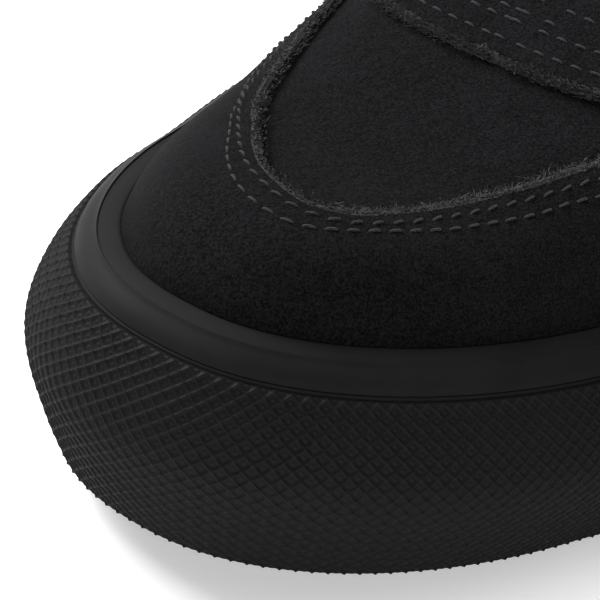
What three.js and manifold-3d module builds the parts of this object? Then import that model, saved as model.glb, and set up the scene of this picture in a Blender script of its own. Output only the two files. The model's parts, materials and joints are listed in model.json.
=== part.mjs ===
// A low skateboarding shoe for the left foot, standing empty on its vulcanised rubber sole.
// Millimetres. +X points to the toe, +Y to the outer side of the foot, +Z up from the floor.
import * as THREE from 'three'
import { mergeVertices } from 'three/addons/utils/BufferGeometryUtils.js'
import Module from 'manifold-3d'

const wasm = await Module()
wasm.setup()

// Driving dimensions of the last and the sole
const soleLength = 292
const ballWidth = 98
const heelWidth = 78
const heelRound = 34
const toeRound = 42.3
const toeSwing = -5.74
const instepHeight = 100
const toeHeight = 43.6
const heelHeight = 80
const ankleHeight = 64
const soleThickness = 14
const toeSpring = 5
const heelLift = 1.5
const archLift = 1.2
const treadDepth = 1.8
// Where along the sole the toe spring, the raised heel edge, the arch and the swing of the toe lie
const springShare = 0.685
const heelShare = 0.085
const archShare = 0.33
const archSpan = 0.19
const swingShare = 0.35
const swingPower = 1.5
// Roundness of the outline's ends: 2 is an ellipse, a second value gives the width its own
const heelRoundness = 2.2
const toeRoundness = 2.02
const toeBreadth = 2.27

// Walls and clearances
const gap = 0.3
const skinInset = 5.76
const overlayThickness = 1.2
const upperWall = 2.2
const paddingThickness = 7
const paddingDepth = 24
const tongueThickness = 5
const insoleThickness = 4.2

// Rubber tapes round the sole
const foxingHeight = 29.4
const stripThickness = 1.5
const bumperHeight = 25.9
const bumperReach = 100
const tapeLift = 0.5

// Openings and overlays of the upper
const throatFront = 78.5
const throatFrontWidth = 17
const throatBackWidth = 28
const throatRound = 11
const eyestayFront = 65
const eyestayWidth = 16.5
const eyestayBackWidth = 11
const eyestayRound = 15
const capNose = 22.3
const capLength = 88
const counterLength = 78
const tongueFront = 68
const tongueLength = 126
const tongueFrontWidth = 42
const tongueBackWidth = 40
const tongueRound = 10
const tongueTopRound = 9

// Lace and eyelets
const eyeletPairs = 7
const firstEyelet = 87
const topEyeletShare = 0.443
const eyeletInset = 8
const eyeletRadius = 2.2
const laceWidth = 7
const laceThickness = 1.2

// Tread on the underside
const treadMargin = 9
const treadStart = 0.05
const treadEnd = 0.95
const grooveWidth = 3
const groovePitch = 12
const grooveSwing = 4
const grooveWave = 30
const padRadius = 14
const padShares = [0.2, 0.61]
const waistShares = [0.345, 0.505]

// How finely the forms are divided
const endColumns = 8
const middleColumns = 13
const formRows = 9

// Half widths of the sole: shares of the local width, which grows from heelWidth to ballWidth
const outlineRows = [
  { at: 0, lateral: 0.436, medial: 0.436 },
  { at: 0.1, lateral: 0.487, medial: 0.487 },
  { at: 0.22, lateral: 0.513, medial: 0.5 },
  { at: 0.36, lateral: 0.481, medial: 0.439 },
  { at: 0.5, lateral: 0.464, medial: 0.415 },
  { at: 0.65, lateral: 0.5, medial: 0.471 },
  { at: 0.74, lateral: 0.4878, medial: 0.4857 },
  { at: 0.855, lateral: 0.343, medial: 0.4218 },
  { at: 1, lateral: 0.241, medial: 0.3708 },
]
// Height of the last's crest over the floor, as shares of instepHeight and toeHeight, and the
// roundness of the cross section there: 2 is an ellipse, more is fuller at the side or on top
const crestRows = [
  { at: 0, instep: 1.35, toe: 0, side: 3, top: 3 },
  { at: 0.12, instep: 1.35, toe: 0, side: 3, top: 3 },
  { at: 0.24, instep: 1.32, toe: 0, side: 3, top: 3.2 },
  { at: 0.34, instep: 1.18, toe: 0, side: 3, top: 3.3 },
  { at: 0.44, instep: 1, toe: 0, side: 2.7, top: 2.8 },
  { at: 0.6, instep: 0.6, toe: 0.413, side: 2.35, top: 2.35 },
  { at: 0.7, instep: 0.3, toe: 0.659, side: 2.75, top: 2.51 },
  { at: 0.85, instep: 0, toe: 1, side: 4.19, top: 3.17 },
  { at: 1, instep: 0, toe: 1.1, side: 4.31, top: 3.22 },
]
// The top line from the back of the heel past the ankle to the top of the lacing
const collarRows = [
  { at: 0, heel: 1, ankle: 0, instep: 0 },
  { at: 0.06, heel: 0.8, ankle: 0.22, instep: 0 },
  { at: 0.14, heel: 0.3, ankle: 0.72, instep: 0 },
  { at: 0.24, heel: 0, ankle: 1, instep: 0 },
  { at: 0.32, heel: 0, ankle: 0.8, instep: 0.17 },
  { at: 0.38, heel: 0, ankle: 0.4, instep: 0.53 },
  { at: 0.42, heel: 0, ankle: 0, instep: 0.93 },
  { at: 0.45, heel: 0, ankle: 0, instep: 1.18 },
]
// Side of the sole: how far each edge of the tapes stands out from the sole's outline
const tapeRows = [
  { at: 0, toe: -2.3, side: -2.6 },
  { at: 0.89, toe: -1.5, side: -2.0 },
  { at: 0.94, toe: -2.2, side: -2.6 },
  { at: 0.988, toe: -3.93, side: -4.48 },
]
const bumperRows = [
  { at: 0, toe: -1.7 },
  { at: 0.23, toe: 0.87 },
  { at: 0.57, toe: 3.5 },
  { at: 0.8, toe: 2.2 },
  { at: 1, toe: -0.63 },
]
// Inner edge of the toe cap: shares of capLength behind its nose and of ballWidth to each side
const capRows = [
  { back: 0, lateral: -0.0194, medial: -0.0194 },
  { back: 0.017, lateral: 0.0143, medial: -0.0755 },
  { back: 0.051, lateral: 0.041, medial: -0.1224 },
  { back: 0.114, lateral: 0.0714, medial: -0.1735 },
  { back: 0.227, lateral: 0.1133, medial: -0.243 },
  { back: 0.398, lateral: 0.1786, medial: -0.302 },
  { back: 0.59, lateral: 0.26, medial: -0.352 },
  { back: 0.795, lateral: 0.367, medial: -0.418 },
  { back: 1, lateral: 0.52, medial: -0.55 },
]
// Front edge of the heel counter: shares of counterLength from the back and of heelHeight up
const counterRows = [
  { out: 1.02, up: 0.3 },
  { out: 0.96, up: 0.45 },
  { out: 0.8, up: 0.62 },
  { out: 0.6, up: 0.76 },
  { out: 0.44, up: 0.92 },
  { out: 0.34, up: 1.1 },
]

// Small numeric helpers
const clamp = (value, low, high) => Math.min(Math.max(value, low), high)
const mix = (a, b, t) => a + (b - a) * t
function smooth(value) {
  const t = clamp(value, 0, 1)
  return t * t * (3 - 2 * t)
}

// Smooth curve through one column of a table, over its first column
function along(rows, column, at, over = 'at') {
  const last = rows.length - 1
  const t = clamp(at, rows[0][over], rows[last][over])
  let i = 0
  while (i < last - 1 && t > rows[i + 1][over]) i += 1
  const slope = (k) => {
    const a = rows[Math.max(k - 1, 0)]
    const b = rows[Math.min(k + 1, last)]
    return (b[column] - a[column]) / (b[over] - a[over])
  }
  const h = rows[i + 1][over] - rows[i][over]
  const s = (t - rows[i][over]) / h
  const start = (1 + 2 * s) * (1 - s) ** 2 * rows[i][column] + s * (1 - s) ** 2 * h * slope(i)
  const end = s * s * (3 - 2 * s) * rows[i + 1][column] + s * s * (s - 1) * h * slope(i + 1)
  return start + end
}

// The sole's outline, its spine and the heights along it
const toeCentre = soleLength - toeRound
const swingStart = swingShare * soleLength
const localWidth = (x) => mix(heelWidth, ballWidth, smooth((x / soleLength - 0.22) / 0.42))
const spineY = (x) => toeSwing * clamp((x - swingStart) / (toeCentre - swingStart), 0, 1) ** swingPower
const springAt = (x) => toeSpring * clamp((x / soleLength - springShare) / (1 - springShare), 0, 1) ** 2
const heelRise = (x) => heelLift * clamp(1 - x / (heelShare * soleLength), 0, 1) ** 2
const archRise = (x) => archLift * Math.sin(Math.PI * clamp((x / soleLength - archShare) / archSpan, 0, 1)) ** 2
const groundAt = (x) => springAt(x) + heelRise(x) + archRise(x)
const collarAt = (x) => {
  const share = x / soleLength
  return along(collarRows, 'heel', share) * heelHeight + along(collarRows, 'ankle', share) * ankleHeight
    + along(collarRows, 'instep', share) * instepHeight
}
const crestAt = (x) => {
  const share = x / soleLength
  return along(crestRows, 'instep', share) * instepHeight + along(crestRows, 'toe', share) * toeHeight
}
const throatX = soleLength - throatFront

// Roundness of the last's cross section, fuller at the toe box
const sideRoundness = (x) => along(crestRows, 'side', x / soleLength)
const topRoundness = (x) => along(crestRows, 'top', x / soleLength)
const toeShare = (x) => smooth((x / soleLength - 0.548) / 0.308)

// One side of the outline as half width, with superelliptic ends at heel and toe
function edgeY(x, endShare, column, sign) {
  const middle = spineY(x)
  const full = sign * along(outlineRows, column, x / soleLength) * localWidth(x)
  return middle + (full - middle) * endShare
}

// Columns round the shoe: heel tip, outer side, toe tip, inner side. Column i faces column 2K - i
function columnsRound() {
  const side = []
  for (let i = 0; i < endColumns; i += 1) {
    const angle = (Math.PI / 2) * (i / endColumns)
    const power = 2 / heelRoundness
    side.push({ x: heelRound * (1 - Math.cos(angle) ** power), share: Math.sin(angle) ** power })
  }
  for (let i = 0; i < middleColumns; i += 1) {
    side.push({ x: mix(heelRound, toeCentre, 1 - (1 - i / middleColumns) ** 1.35), share: 1 })
  }
  for (let i = 0; i <= endColumns; i += 1) {
    const angle = (Math.PI / 2) * (i / endColumns)
    const cosine = i === endColumns ? 0 : Math.cos(angle)
    const x = toeCentre + toeRound * Math.sin(angle) ** (2 / toeRoundness)
    side.push({ x, share: cosine ** (2 / toeBreadth) })
  }
  const lateral = side.map((p) => ({ x: p.x, y: edgeY(p.x, p.share, 'lateral', 1) }))
  const medial = side.slice(1, -1).reverse().map((p) => ({ x: p.x, y: edgeY(p.x, p.share, 'medial', -1) }))
  const round = [...lateral, ...medial]
  return round.map((p, i) => {
    const before = round[(i + round.length - 1) % round.length]
    const after = round[(i + 1) % round.length]
    const size = Math.hypot(after.x - before.x, after.y - before.y)
    const spineX = clamp(p.x, heelRound, toeCentre)
    return {
      x: p.x,
      y: p.y,
      nx: (before.y - after.y) / size,
      ny: (after.x - before.x) / size,
      spineX,
      spineY: spineY(spineX),
      spring: springAt(p.x),
    }
  })
}
const columns = columnsRound()
const halfRound = columns.length / 2
const offsetPoint = (c, offset, z) => [c.x + c.nx * offset, c.y + c.ny * offset, z]
// A column at a stated place on one side, between its two neighbours
function columnAt(x, side) {
  const run = side === 'lateral' ? columns.slice(0, halfRound + 1) : [columns[0], ...columns.slice(halfRound).reverse()]
  const i = run.findIndex((c) => c.x > x) - 1
  const t = (x - run[i].x) / (run[i + 1].x - run[i].x)
  return Object.fromEntries(Object.keys(run[i]).map((key) => [key, mix(run[i][key], run[i + 1][key], t)]))
}

// A point of the last's skin on one column: rise is 0 at the sole and 1 on the crest
function skinPoint(c, rise, grow) {
  const base = offsetPoint(c, grow - skinInset, 0)
  const reach = Math.max(1 - rise ** topRoundness(base[0]), 0) ** (1 / sideRoundness(base[0]))
  const x = mix(c.spineX, base[0], reach)
  const y = mix(c.spineY, base[1], reach)
  const crest = crestAt(x) + grow
  return [x, y, soleThickness + c.spring * (1 - rise) + (crest - soleThickness) * rise]
}
// The same skin at a stated height over the sole's bottom line
function skinAtHeight(c, height, grow) {
  let rise = 0.4
  for (let step = 0; step < 12; step += 1) {
    const x = skinPoint(c, rise, grow)[0]
    rise = clamp((height - soleThickness - c.spring) / (crestAt(x) + grow - soleThickness - c.spring), 0, 0.98)
  }
  return skinPoint(c, rise, grow)
}
// The skin over a place in plan, for the flat stretch between heel and toe ends
function skinOver(x, y, grow) {
  const column = y > spineY(x) ? 'lateral' : 'medial'
  const edge = edgeY(x, 1, column, column === 'lateral' ? 1 : -1)
  const inset = (skinInset - grow) * Math.sign(edge)
  const reach = clamp((y - spineY(x)) / (edge - inset - spineY(x)), 0, 0.999)
  const rise = (1 - reach ** sideRoundness(x)) ** (1 / topRoundness(x))
  return soleThickness + springAt(x) * (1 - rise) + (crestAt(x) + grow - soleThickness) * rise
}

// Meshes: triangles to a closed geometry whose faces point out
function closedGeometry(triangles) {
  const key = (p) => p.map((v) => v.toFixed(4)).join()
  const whole = triangles.filter((t) => new Set(t.map(key)).size === 3)
  let volume = 0
  whole.forEach(([a, b, c]) => {
    const va = new THREE.Vector3(...a)
    volume += va.dot(new THREE.Vector3(...b).cross(new THREE.Vector3(...c)))
  })
  const flat = whole.flatMap(([a, b, c]) => (volume > 0 ? [...a, ...b, ...c] : [...a, ...c, ...b]))
  const geometry = new THREE.BufferGeometry()
  geometry.setAttribute('position', new THREE.Float32BufferAttribute(flat, 3))
  return mergeVertices(geometry, 1e-4)
}
const quad = (a, b, c, d) => [[a, b, c], [a, c, d]]

function solidOf(geometry) {
  const bare = geometry.clone()
  bare.deleteAttribute('normal')
  bare.deleteAttribute('uv')
  const merged = mergeVertices(bare, 1e-4)
  const vertProperties = new Float32Array(merged.attributes.position.array)
  const triVerts = new Uint32Array(merged.index.array)
  return new wasm.Manifold(new wasm.Mesh({ numProp: 3, vertProperties, triVerts }))
}

function geometryOf(solid) {
  const mesh = solid.getMesh()
  const geometry = new THREE.BufferGeometry()
  geometry.setAttribute('position', new THREE.Float32BufferAttribute(mesh.vertProperties, 3))
  geometry.setIndex(new THREE.Uint32BufferAttribute(mesh.triVerts, 1))
  return geometry
}

// The last as a filled form: grow swells it, drop lengthens its foot downwards for cutting
function lastForm(grow, drop = 0) {
  const rises = Array.from({ length: formRows + 1 }, (_, j) => {
    const angle = (Math.PI / 2) * (j / formRows)
    return j === formRows ? 1 : Math.sin(angle) ** (2 / 2.6)
  })
  const rows = columns.map((c) => {
    const wall = rises.map((rise) => skinPoint(c, rise, grow))
    const [x, y, z] = wall[0]
    return drop > 0 ? [[x, y, z - drop], ...wall] : wall
  })
  const triangles = []
  const wrap = (i) => (i + columns.length) % columns.length
  rows.forEach((row, i) => {
    const next = rows[wrap(i + 1)]
    for (let j = 0; j + 1 < row.length; j += 1) triangles.push(...quad(row[j], next[j], next[j + 1], row[j + 1]))
  })
  for (let i = 0; i < halfRound; i += 1) {
    triangles.push(...quad(rows[i][0], rows[wrap(-i)][0], rows[wrap(-i - 1)][0], rows[i + 1][0]))
  }
  return solidOf(closedGeometry(triangles))
}

// A filled slab inside the outline between two height lines
function outlineSlab(offset, lowAt, highAt) {
  const wrap = (i) => (i + columns.length) % columns.length
  const low = columns.map((c) => offsetPoint(c, offset, lowAt(c.x)))
  const high = columns.map((c) => offsetPoint(c, offset, highAt(c.x)))
  const triangles = []
  columns.forEach((c, i) => triangles.push(...quad(low[i], low[wrap(i + 1)], high[wrap(i + 1)], high[i])))
  for (let i = 0; i < halfRound; i += 1) {
    const across = [i, wrap(-i), wrap(-i - 1), i + 1]
    triangles.push(...quad(...across.map((k) => high[k]).reverse()))
    triangles.push(...quad(...across.map((k) => low[k])))
  }
  return solidOf(closedGeometry(triangles))
}

// A tape whose cross section is carried round a run of columns, closed or with flat ends
function carried(sections, closed) {
  const triangles = []
  const count = sections[0].length
  const spans = closed ? sections.length : sections.length - 1
  for (let i = 0; i < spans; i += 1) {
    const here = sections[i]
    const next = sections[(i + 1) % sections.length]
    for (let j = 0; j < count; j += 1) {
      const k = (j + 1) % count
      triangles.push(...quad(here[j], next[j], next[k], here[k]))
    }
  }
  if (!closed) {
    triangles.push(...flatEnd(sections[0], true), ...flatEnd(sections.at(-1), false))
  }
  return triangles
}
// Flat triangles over an end section, turned so that they close the run before or after them
function flatEnd(end, starts) {
  const [originX, originY] = end[0]
  const distance = (p) => Math.hypot(p[0] - originX, p[1] - originY)
  const far = end.reduce((best, p) => (distance(p) > distance(best) ? p : best))
  const spread = (p) => ((p[0] - originX) * (far[0] - originX) + (p[1] - originY) * (far[1] - originY)) / distance(far)
  const corners = THREE.ShapeUtils.triangulateShape(end.map((p) => new THREE.Vector2(spread(p), p[2])), [])
  const follows = (a, b) => b === (a + 1) % end.length
  const sameTurn = corners.some(([a, b, c]) => follows(a, b) || follows(b, c) || follows(c, a))
  return corners.map(([a, b, c]) => (sameTurn === starts ? [end[a], end[b], end[c]] : [end[c], end[b], end[a]]))
}

// Prisms for cutting: a plan outline carried up, or a side profile carried across
function planPrism(points, low, high) {
  const shape = new THREE.Shape(points.map(([x, y]) => new THREE.Vector2(x, y)))
  const geometry = new THREE.ExtrudeGeometry(shape, { depth: high - low, bevelEnabled: false })
  geometry.translate(0, 0, low)
  return solidOf(geometry)
}
function sidePrism(points) {
  const shape = new THREE.Shape(points.map(([x, z]) => new THREE.Vector2(x, z)))
  const geometry = new THREE.ExtrudeGeometry(shape, { depth: 2 * ballWidth, bevelEnabled: false })
  geometry.rotateX(Math.PI / 2)
  geometry.translate(0, ballWidth, 0)
  return solidOf(geometry)
}

// Half width of a slot or panel with a rounded front end
function roundedHalf(x, frontX, frontHalf, backX, backHalf, roundDepth, power) {
  const depth = clamp((frontX - x) / roundDepth, 0, 1)
  const full = mix(frontHalf, backHalf, clamp((frontX - x) / (frontX - backX), 0, 1))
  return full * (1 - (1 - depth) ** power) ** (1 / power)
}
const throatBackX = 0.38 * soleLength
const throatHalf = (x) => roundedHalf(x, throatX, throatFrontWidth / 2, throatBackX, throatBackWidth / 2,
  throatRound, 2.4)
const eyestayX = soleLength - eyestayFront
const eyestayHalf = (x) => roundedHalf(x, eyestayX, throatFrontWidth / 2 + eyestayWidth, throatBackX,
  throatBackWidth / 2 + eyestayBackWidth, eyestayRound, 3)
const tongueX = soleLength - tongueFront
const tongueBackX = tongueX - tongueLength
const tongueTop = (x) => (1 - clamp(1 - (x - tongueBackX) / tongueTopRound, 0, 1) ** 3) ** (1 / 3)
const tongueHalf = (x) => tongueTop(x) * roundedHalf(x, tongueX, tongueFrontWidth / 2, tongueBackX,
  tongueBackWidth / 2, tongueRound, 2.4)

// A plan outline from a half width, both sides of the spine
function planOutline(halfAt, frontX, backX, steps) {
  const stations = Array.from({ length: steps + 1 }, (_, i) => mix(frontX, backX, (1 - Math.cos((Math.PI * i) / steps)) / 2))
  const lateral = stations.map((x) => [x, spineY(x) + halfAt(x)])
  const medial = stations.map((x) => [x, spineY(x) - halfAt(x)])
  return [...lateral.slice(1), ...medial.slice(1).reverse(), medial[0]]
}

// Cutters shared by the upper and its overlays
const highAbove = 2.5 * instepHeight
function collarCutter() {
  const backX = -0.1 * soleLength
  const frontX = 0.45 * soleLength
  const steps = 22
  const line = Array.from({ length: steps + 1 }, (_, i) => {
    const x = mix(0, frontX, i / steps)
    return [x, collarAt(x)]
  })
  return sidePrism([[backX, highAbove], [backX, heelHeight], ...line, [frontX, highAbove]])
}
const throatCutter = () => planPrism(planOutline(throatHalf, throatX, 0.3 * soleLength, 10), foxingHeight, highAbove)
const tapeSection = (c, low, high, inner, outer) => [
  offsetPoint(c, inner, low), offsetPoint(c, outer, low), offsetPoint(c, outer, high), offsetPoint(c, inner, high)]
// Everything below the foxing's top edge, so that overlays end on it
function footRing() {
  const sections = columns.map((c) => tapeSection(c, 0, foxingHeight + gap + c.spring, -16, 12))
  return solidOf(closedGeometry(carried(sections, true)))
}
const cutTop = collarCutter()
const cutThroat = throatCutter()
const cutFoot = footRing()

// Eyelet places, from the front to the top of the lacing, and the pins that punch them
const eyeletX = (i) => mix(soleLength - firstEyelet, topEyeletShare * soleLength, i / (eyeletPairs - 1))
function eyeletPlaces() {
  const places = []
  for (let i = 0; i < eyeletPairs; i += 1) {
    const x = eyeletX(i)
    const half = throatHalf(x) + eyeletInset
    places.push([x, spineY(x) + half], [x, spineY(x) - half])
  }
  return places
}
function punch(place) {
  const [x, y] = place
  const reach = overlayThickness + upperWall + 3
  const z = skinOver(x, y, 0)
  const slopeX = (skinOver(x + 1, y, 0) - skinOver(x - 1, y, 0)) / 2
  const slopeY = (skinOver(x, y + 1, 0) - skinOver(x, y - 1, 0)) / 2
  const normal = new THREE.Vector3(-slopeX, -slopeY, 1).normalize()
  const pin = new THREE.CylinderGeometry(eyeletRadius, eyeletRadius, 2 * reach, 8)
  pin.applyQuaternion(new THREE.Quaternion().setFromUnitVectors(new THREE.Vector3(0, 1, 0), normal))
  pin.translate(x, y, z)
  return solidOf(pin)
}
const punches = eyeletPlaces().map(punch).reduce((a, b) => a.add(b))

// The tapes: each stands on the one inside it with a small clearance
const innerFace = overlayThickness - gap
const outerOffset = (c, share) => mix(along(tapeRows, 'side', share), along(tapeRows, 'toe', share), toeShare(c.x))
const stripInner = (c, share) => outerOffset(c, share) - stripThickness
const foxingOuter = (c, share) => stripInner(c, share) - gap

function foxing() {
  const sections = columns.map((c) => {
    const low = groundAt(c.x) + tapeLift
    const top = foxingHeight + c.spring
    const base = soleThickness + c.spring
    const lip = -skinInset - 1.3
    const inner = (z) => skinAtHeight(c, z, -overlayThickness)
    return [
      offsetPoint(c, -skinInset - innerFace - gap, low),
      offsetPoint(c, foxingOuter(c, 0), low),
      offsetPoint(c, foxingOuter(c, 0.89), 0.89 * foxingHeight + c.spring),
      offsetPoint(c, foxingOuter(c, 0.94), 0.94 * foxingHeight + c.spring),
      offsetPoint(c, Math.min(lip, foxingOuter(c, 0.988)), top - 0.1),
      inner(top),
      inner(mix(base, top, 0.5)),
      inner(base),
    ]
  })
  return closedGeometry(carried(sections, true))
}

function foxingStrip() {
  const shares = [0, 0.89, 0.94, 0.988]
  const sections = columns.map((c) => {
    const height = (share) => (share < 0.3 ? groundAt(c.x) + tapeLift : c.spring) + share * foxingHeight
    const outer = shares.map((share) => offsetPoint(c, outerOffset(c, share), height(share)))
    const inner = [0.94, 0.89, 0].map((share) => offsetPoint(c, stripInner(c, share), height(share)))
    return [...outer, ...inner]
  })
  return closedGeometry(carried(sections, true))
}

function toeBumper() {
  const startX = soleLength - bumperReach
  const front = columns.filter((c) => c.x > startX + 2)
  const sections = [columnAt(startX, 'lateral'), ...front, columnAt(startX, 'medial')].map((c) => {
    const taper = mix(0.2, 1, smooth((c.x - startX) / (0.45 * bumperReach)))
    const low = groundAt(c.x) + tapeLift
    const height = (share) => mix(low, bumperHeight + c.spring, share)
    const back = (share) => outerOffset(c, (share * bumperHeight) / foxingHeight) + gap
    const outer = bumperRows.map((row) => {
      const thick = Math.max(row.toe - back(row.at), 0.4) * taper
      return offsetPoint(c, back(row.at) + thick, height(row.at))
    })
    return [...outer, ...[1, 0.57, 0.23, 0].map((share) => offsetPoint(c, back(share), height(share)))]
  })
  return closedGeometry(carried(sections, false))
}

// Outsole: core and tread in one rubber, zigzag grooves with a plain rim and two round pads
function zigzag(x) {
  const count = Math.ceil((1.1 * ballWidth) / grooveWave) * 2
  const line = Array.from({ length: count + 1 }, (_, i) => {
    const y = (i - count / 2) * (grooveWave / 2)
    return [x + (i % 2 === 0 ? grooveSwing : -grooveSwing), y]
  })
  const front = line.map(([px, py]) => [px + grooveWidth / 2, py])
  const back = line.map(([px, py]) => [px - grooveWidth / 2, py]).reverse()
  return planPrism([...front, ...back], -1, soleThickness)
}
function outsole() {
  const outline = -skinInset - innerFace - 2 * gap
  const body = outlineSlab(outline, groundAt, (x) => soleThickness - gap + springAt(x))
  const count = Math.floor(((treadEnd - treadStart) * soleLength) / groovePitch)
  let grooves = zigzag(treadStart * soleLength)
  for (let i = 1; i < count; i += 1) grooves = grooves.add(zigzag(treadStart * soleLength + i * groovePitch))
  const field = outlineSlab(outline - treadMargin, () => -0.5, (x) => groundAt(x) + treadDepth)
  const pads = padShares.map((share) => {
    const pad = new THREE.CylinderGeometry(padRadius, padRadius, soleThickness, 16)
    pad.rotateX(Math.PI / 2)
    pad.translate(share * soleLength, spineY(share * soleLength), 0)
    return solidOf(pad)
  })
  const [waistBack, waistFront] = waistShares.map((share) => share * soleLength)
  const waist = planPrism([[waistBack, -ballWidth], [waistFront, -ballWidth], [waistFront, ballWidth],
    [waistBack, ballWidth]], -1, soleThickness)
  const cut = grooves.intersect(field).subtract(pads[0]).subtract(pads[1]).subtract(waist)
  return geometryOf(body.subtract(cut))
}

function insole() {
  const form = lastForm(-overlayThickness - gap - upperWall - gap)
  const slab = outlineSlab(0, (x) => springAt(x), (x) => soleThickness + insoleThickness + springAt(x))
  return geometryOf(form.intersect(slab))
}

// Upper: one hollow shell, open at the collar, down the throat and underneath
function upper() {
  const outside = lastForm(-overlayThickness - gap)
  const inside = lastForm(-overlayThickness - gap - upperWall, 6)
  return geometryOf(outside.subtract(inside).subtract(cutTop).subtract(cutThroat).subtract(punches))
}

const overlayShell = lastForm(0).subtract(lastForm(-overlayThickness, 6)).subtract(cutFoot)

function toeCap() {
  const noseX = soleLength - capNose
  const place = (row, side) => new THREE.Vector2(noseX - row.back * capLength, row[side] * ballWidth)
  const medial = capRows.slice(1).reverse().map((row) => place(row, 'medial'))
  const lateral = capRows.map((row) => place(row, 'lateral'))
  const edge = new THREE.SplineCurve([...medial, ...lateral]).getPoints(32).map((p) => [p.x, p.y])
  const farX = 1.2 * soleLength
  const backX = noseX - capLength
  const region = planPrism([[backX, -ballWidth], ...edge, [backX, ballWidth], [farX, ballWidth], [farX, -ballWidth]],
    0, highAbove)
  return geometryOf(overlayShell.intersect(region))
}

function eyestay() {
  const region = planPrism(planOutline(eyestayHalf, eyestayX, 0.3 * soleLength, 14), foxingHeight, highAbove)
  return geometryOf(overlayShell.intersect(region).subtract(cutTop).subtract(cutThroat).subtract(punches))
}

function heelCounter() {
  const points = counterRows.map((row) => new THREE.Vector2(row.out * counterLength, row.up * heelHeight))
  const edge = new THREE.SplineCurve(points).getPoints(14).map((p) => [p.x, p.y])
  const backX = -0.1 * soleLength
  const region = sidePrism([[backX, 0], [edge[0][0], 0], ...edge, [backX, 1.1 * heelHeight]])
  return geometryOf(overlayShell.intersect(region).subtract(cutTop))
}

function tongue() {
  const outer = overlayThickness + gap + upperWall + gap + 0.1
  const shell = lastForm(-outer).subtract(lastForm(-outer - tongueThickness, 6))
  const region = planPrism(planOutline(tongueHalf, tongueX, tongueBackX, 14), foxingHeight, highAbove)
  return geometryOf(shell.intersect(region))
}

// Padded collar: a rounded roll inside the top line, thinner towards the lacing
function collar() {
  const endX = 0.385 * soleLength
  const lateral = columns.slice(1, halfRound).filter((c) => c.x < endX).reverse()
  const medial = columns.slice(halfRound + 1).filter((c) => c.x < endX).reverse()
  const run = [...lateral, columns[0], ...medial]
  const outer = overlayThickness + gap + upperWall + gap
  const sections = run.map((c) => {
    const taper = 1 - 0.55 * smooth((c.x - 0.22 * soleLength) / (0.16 * soleLength))
    const thick = paddingThickness * taper
    const top = collarAt(Math.max(c.x, 2)) + 2
    const depth = paddingDepth
    return Array.from({ length: 8 }, (_, k) => {
      const angle = (2 * Math.PI * (k + 0.5)) / 8
      const squareness = 0.75
      const up = Math.sign(Math.sin(angle)) * Math.abs(Math.sin(angle)) ** squareness
      const inward = (1 - Math.sign(Math.cos(angle)) * Math.abs(Math.cos(angle)) ** squareness) / 2
      return skinAtHeight(c, top - (depth / 2) * (1 - up), -outer - thick * inward)
    })
  })
  return closedGeometry(carried(sections, false))
}

// Flat lace bars, one across each pair of eyelets, just over the eyestay
const laceLayer = lastForm(gap + laceThickness).subtract(lastForm(gap))
function laceBar(index) {
  const x = eyeletX(index)
  const half = throatHalf(x) + eyeletInset + laceWidth / 4
  const corners = [[-1, -1], [1, -1], [1, 1], [-1, 1]]
  const strip = corners.map(([alongX, acrossY]) => [x + (alongX * laceWidth) / 2, spineY(x) + acrossY * half])
  return geometryOf(laceLayer.intersect(planPrism(strip, foxingHeight, highAbove)))
}

// Materials of the real pieces
const suede = new THREE.MeshStandardMaterial({ color: 0x1b1a1d, roughness: 0.95, metalness: 0 })
const smoothRubber = new THREE.MeshStandardMaterial({ color: 0x2e2e30, roughness: 0.5, metalness: 0 })
const bumperRubber = new THREE.MeshStandardMaterial({ color: 0x1f1f21, roughness: 0.62, metalness: 0 })
const treadRubber = new THREE.MeshStandardMaterial({ color: 0x242426, roughness: 0.7, metalness: 0 })
const canvas = new THREE.MeshStandardMaterial({ color: 0x202022, roughness: 0.9, metalness: 0 })
const lining = new THREE.MeshStandardMaterial({ color: 0x262628, roughness: 0.95, metalness: 0 })
const laceWeave = new THREE.MeshStandardMaterial({ color: 0x19191b, roughness: 0.85, metalness: 0 })

const shoe = new THREE.Group()
function add(name, geometry, material) {
  const mesh = new THREE.Mesh(geometry, material)
  mesh.name = name
  shoe.add(mesh)
}
add('outsole', outsole(), treadRubber)
add('foxing', foxing(), smoothRubber)
add('foxing_strip', foxingStrip(), smoothRubber)
add('toe_bumper', toeBumper(), bumperRubber)
add('insole', insole(), lining)
add('upper', upper(), suede)
add('toe_cap', toeCap(), suede)
add('eyestay', eyestay(), suede)
add('heel_counter', heelCounter(), suede)
add('collar', collar(), lining)
add('tongue', tongue(), canvas)
for (let i = 0; i < eyeletPairs; i += 1) add(`lace_bar_${i + 1}`, laceBar(i), laceWeave)

// The origin lies on the floor under the middle of the shoe
const box = new THREE.Box3().setFromObject(shoe)
shoe.position.set(-(box.min.x + box.max.x) / 2, -(box.min.y + box.max.y) / 2, -box.min.z)

export default shoe
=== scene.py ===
"""A low left skateboarding shoe: black suede on a vulcanised rubber sole, dressed and lit."""
from __future__ import annotations

import json
import logging
import math
from dataclasses import dataclass, field
from enum import Enum

import bmesh
import bpy
import numpy as np
from mathutils import Matrix, Vector, kdtree

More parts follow.
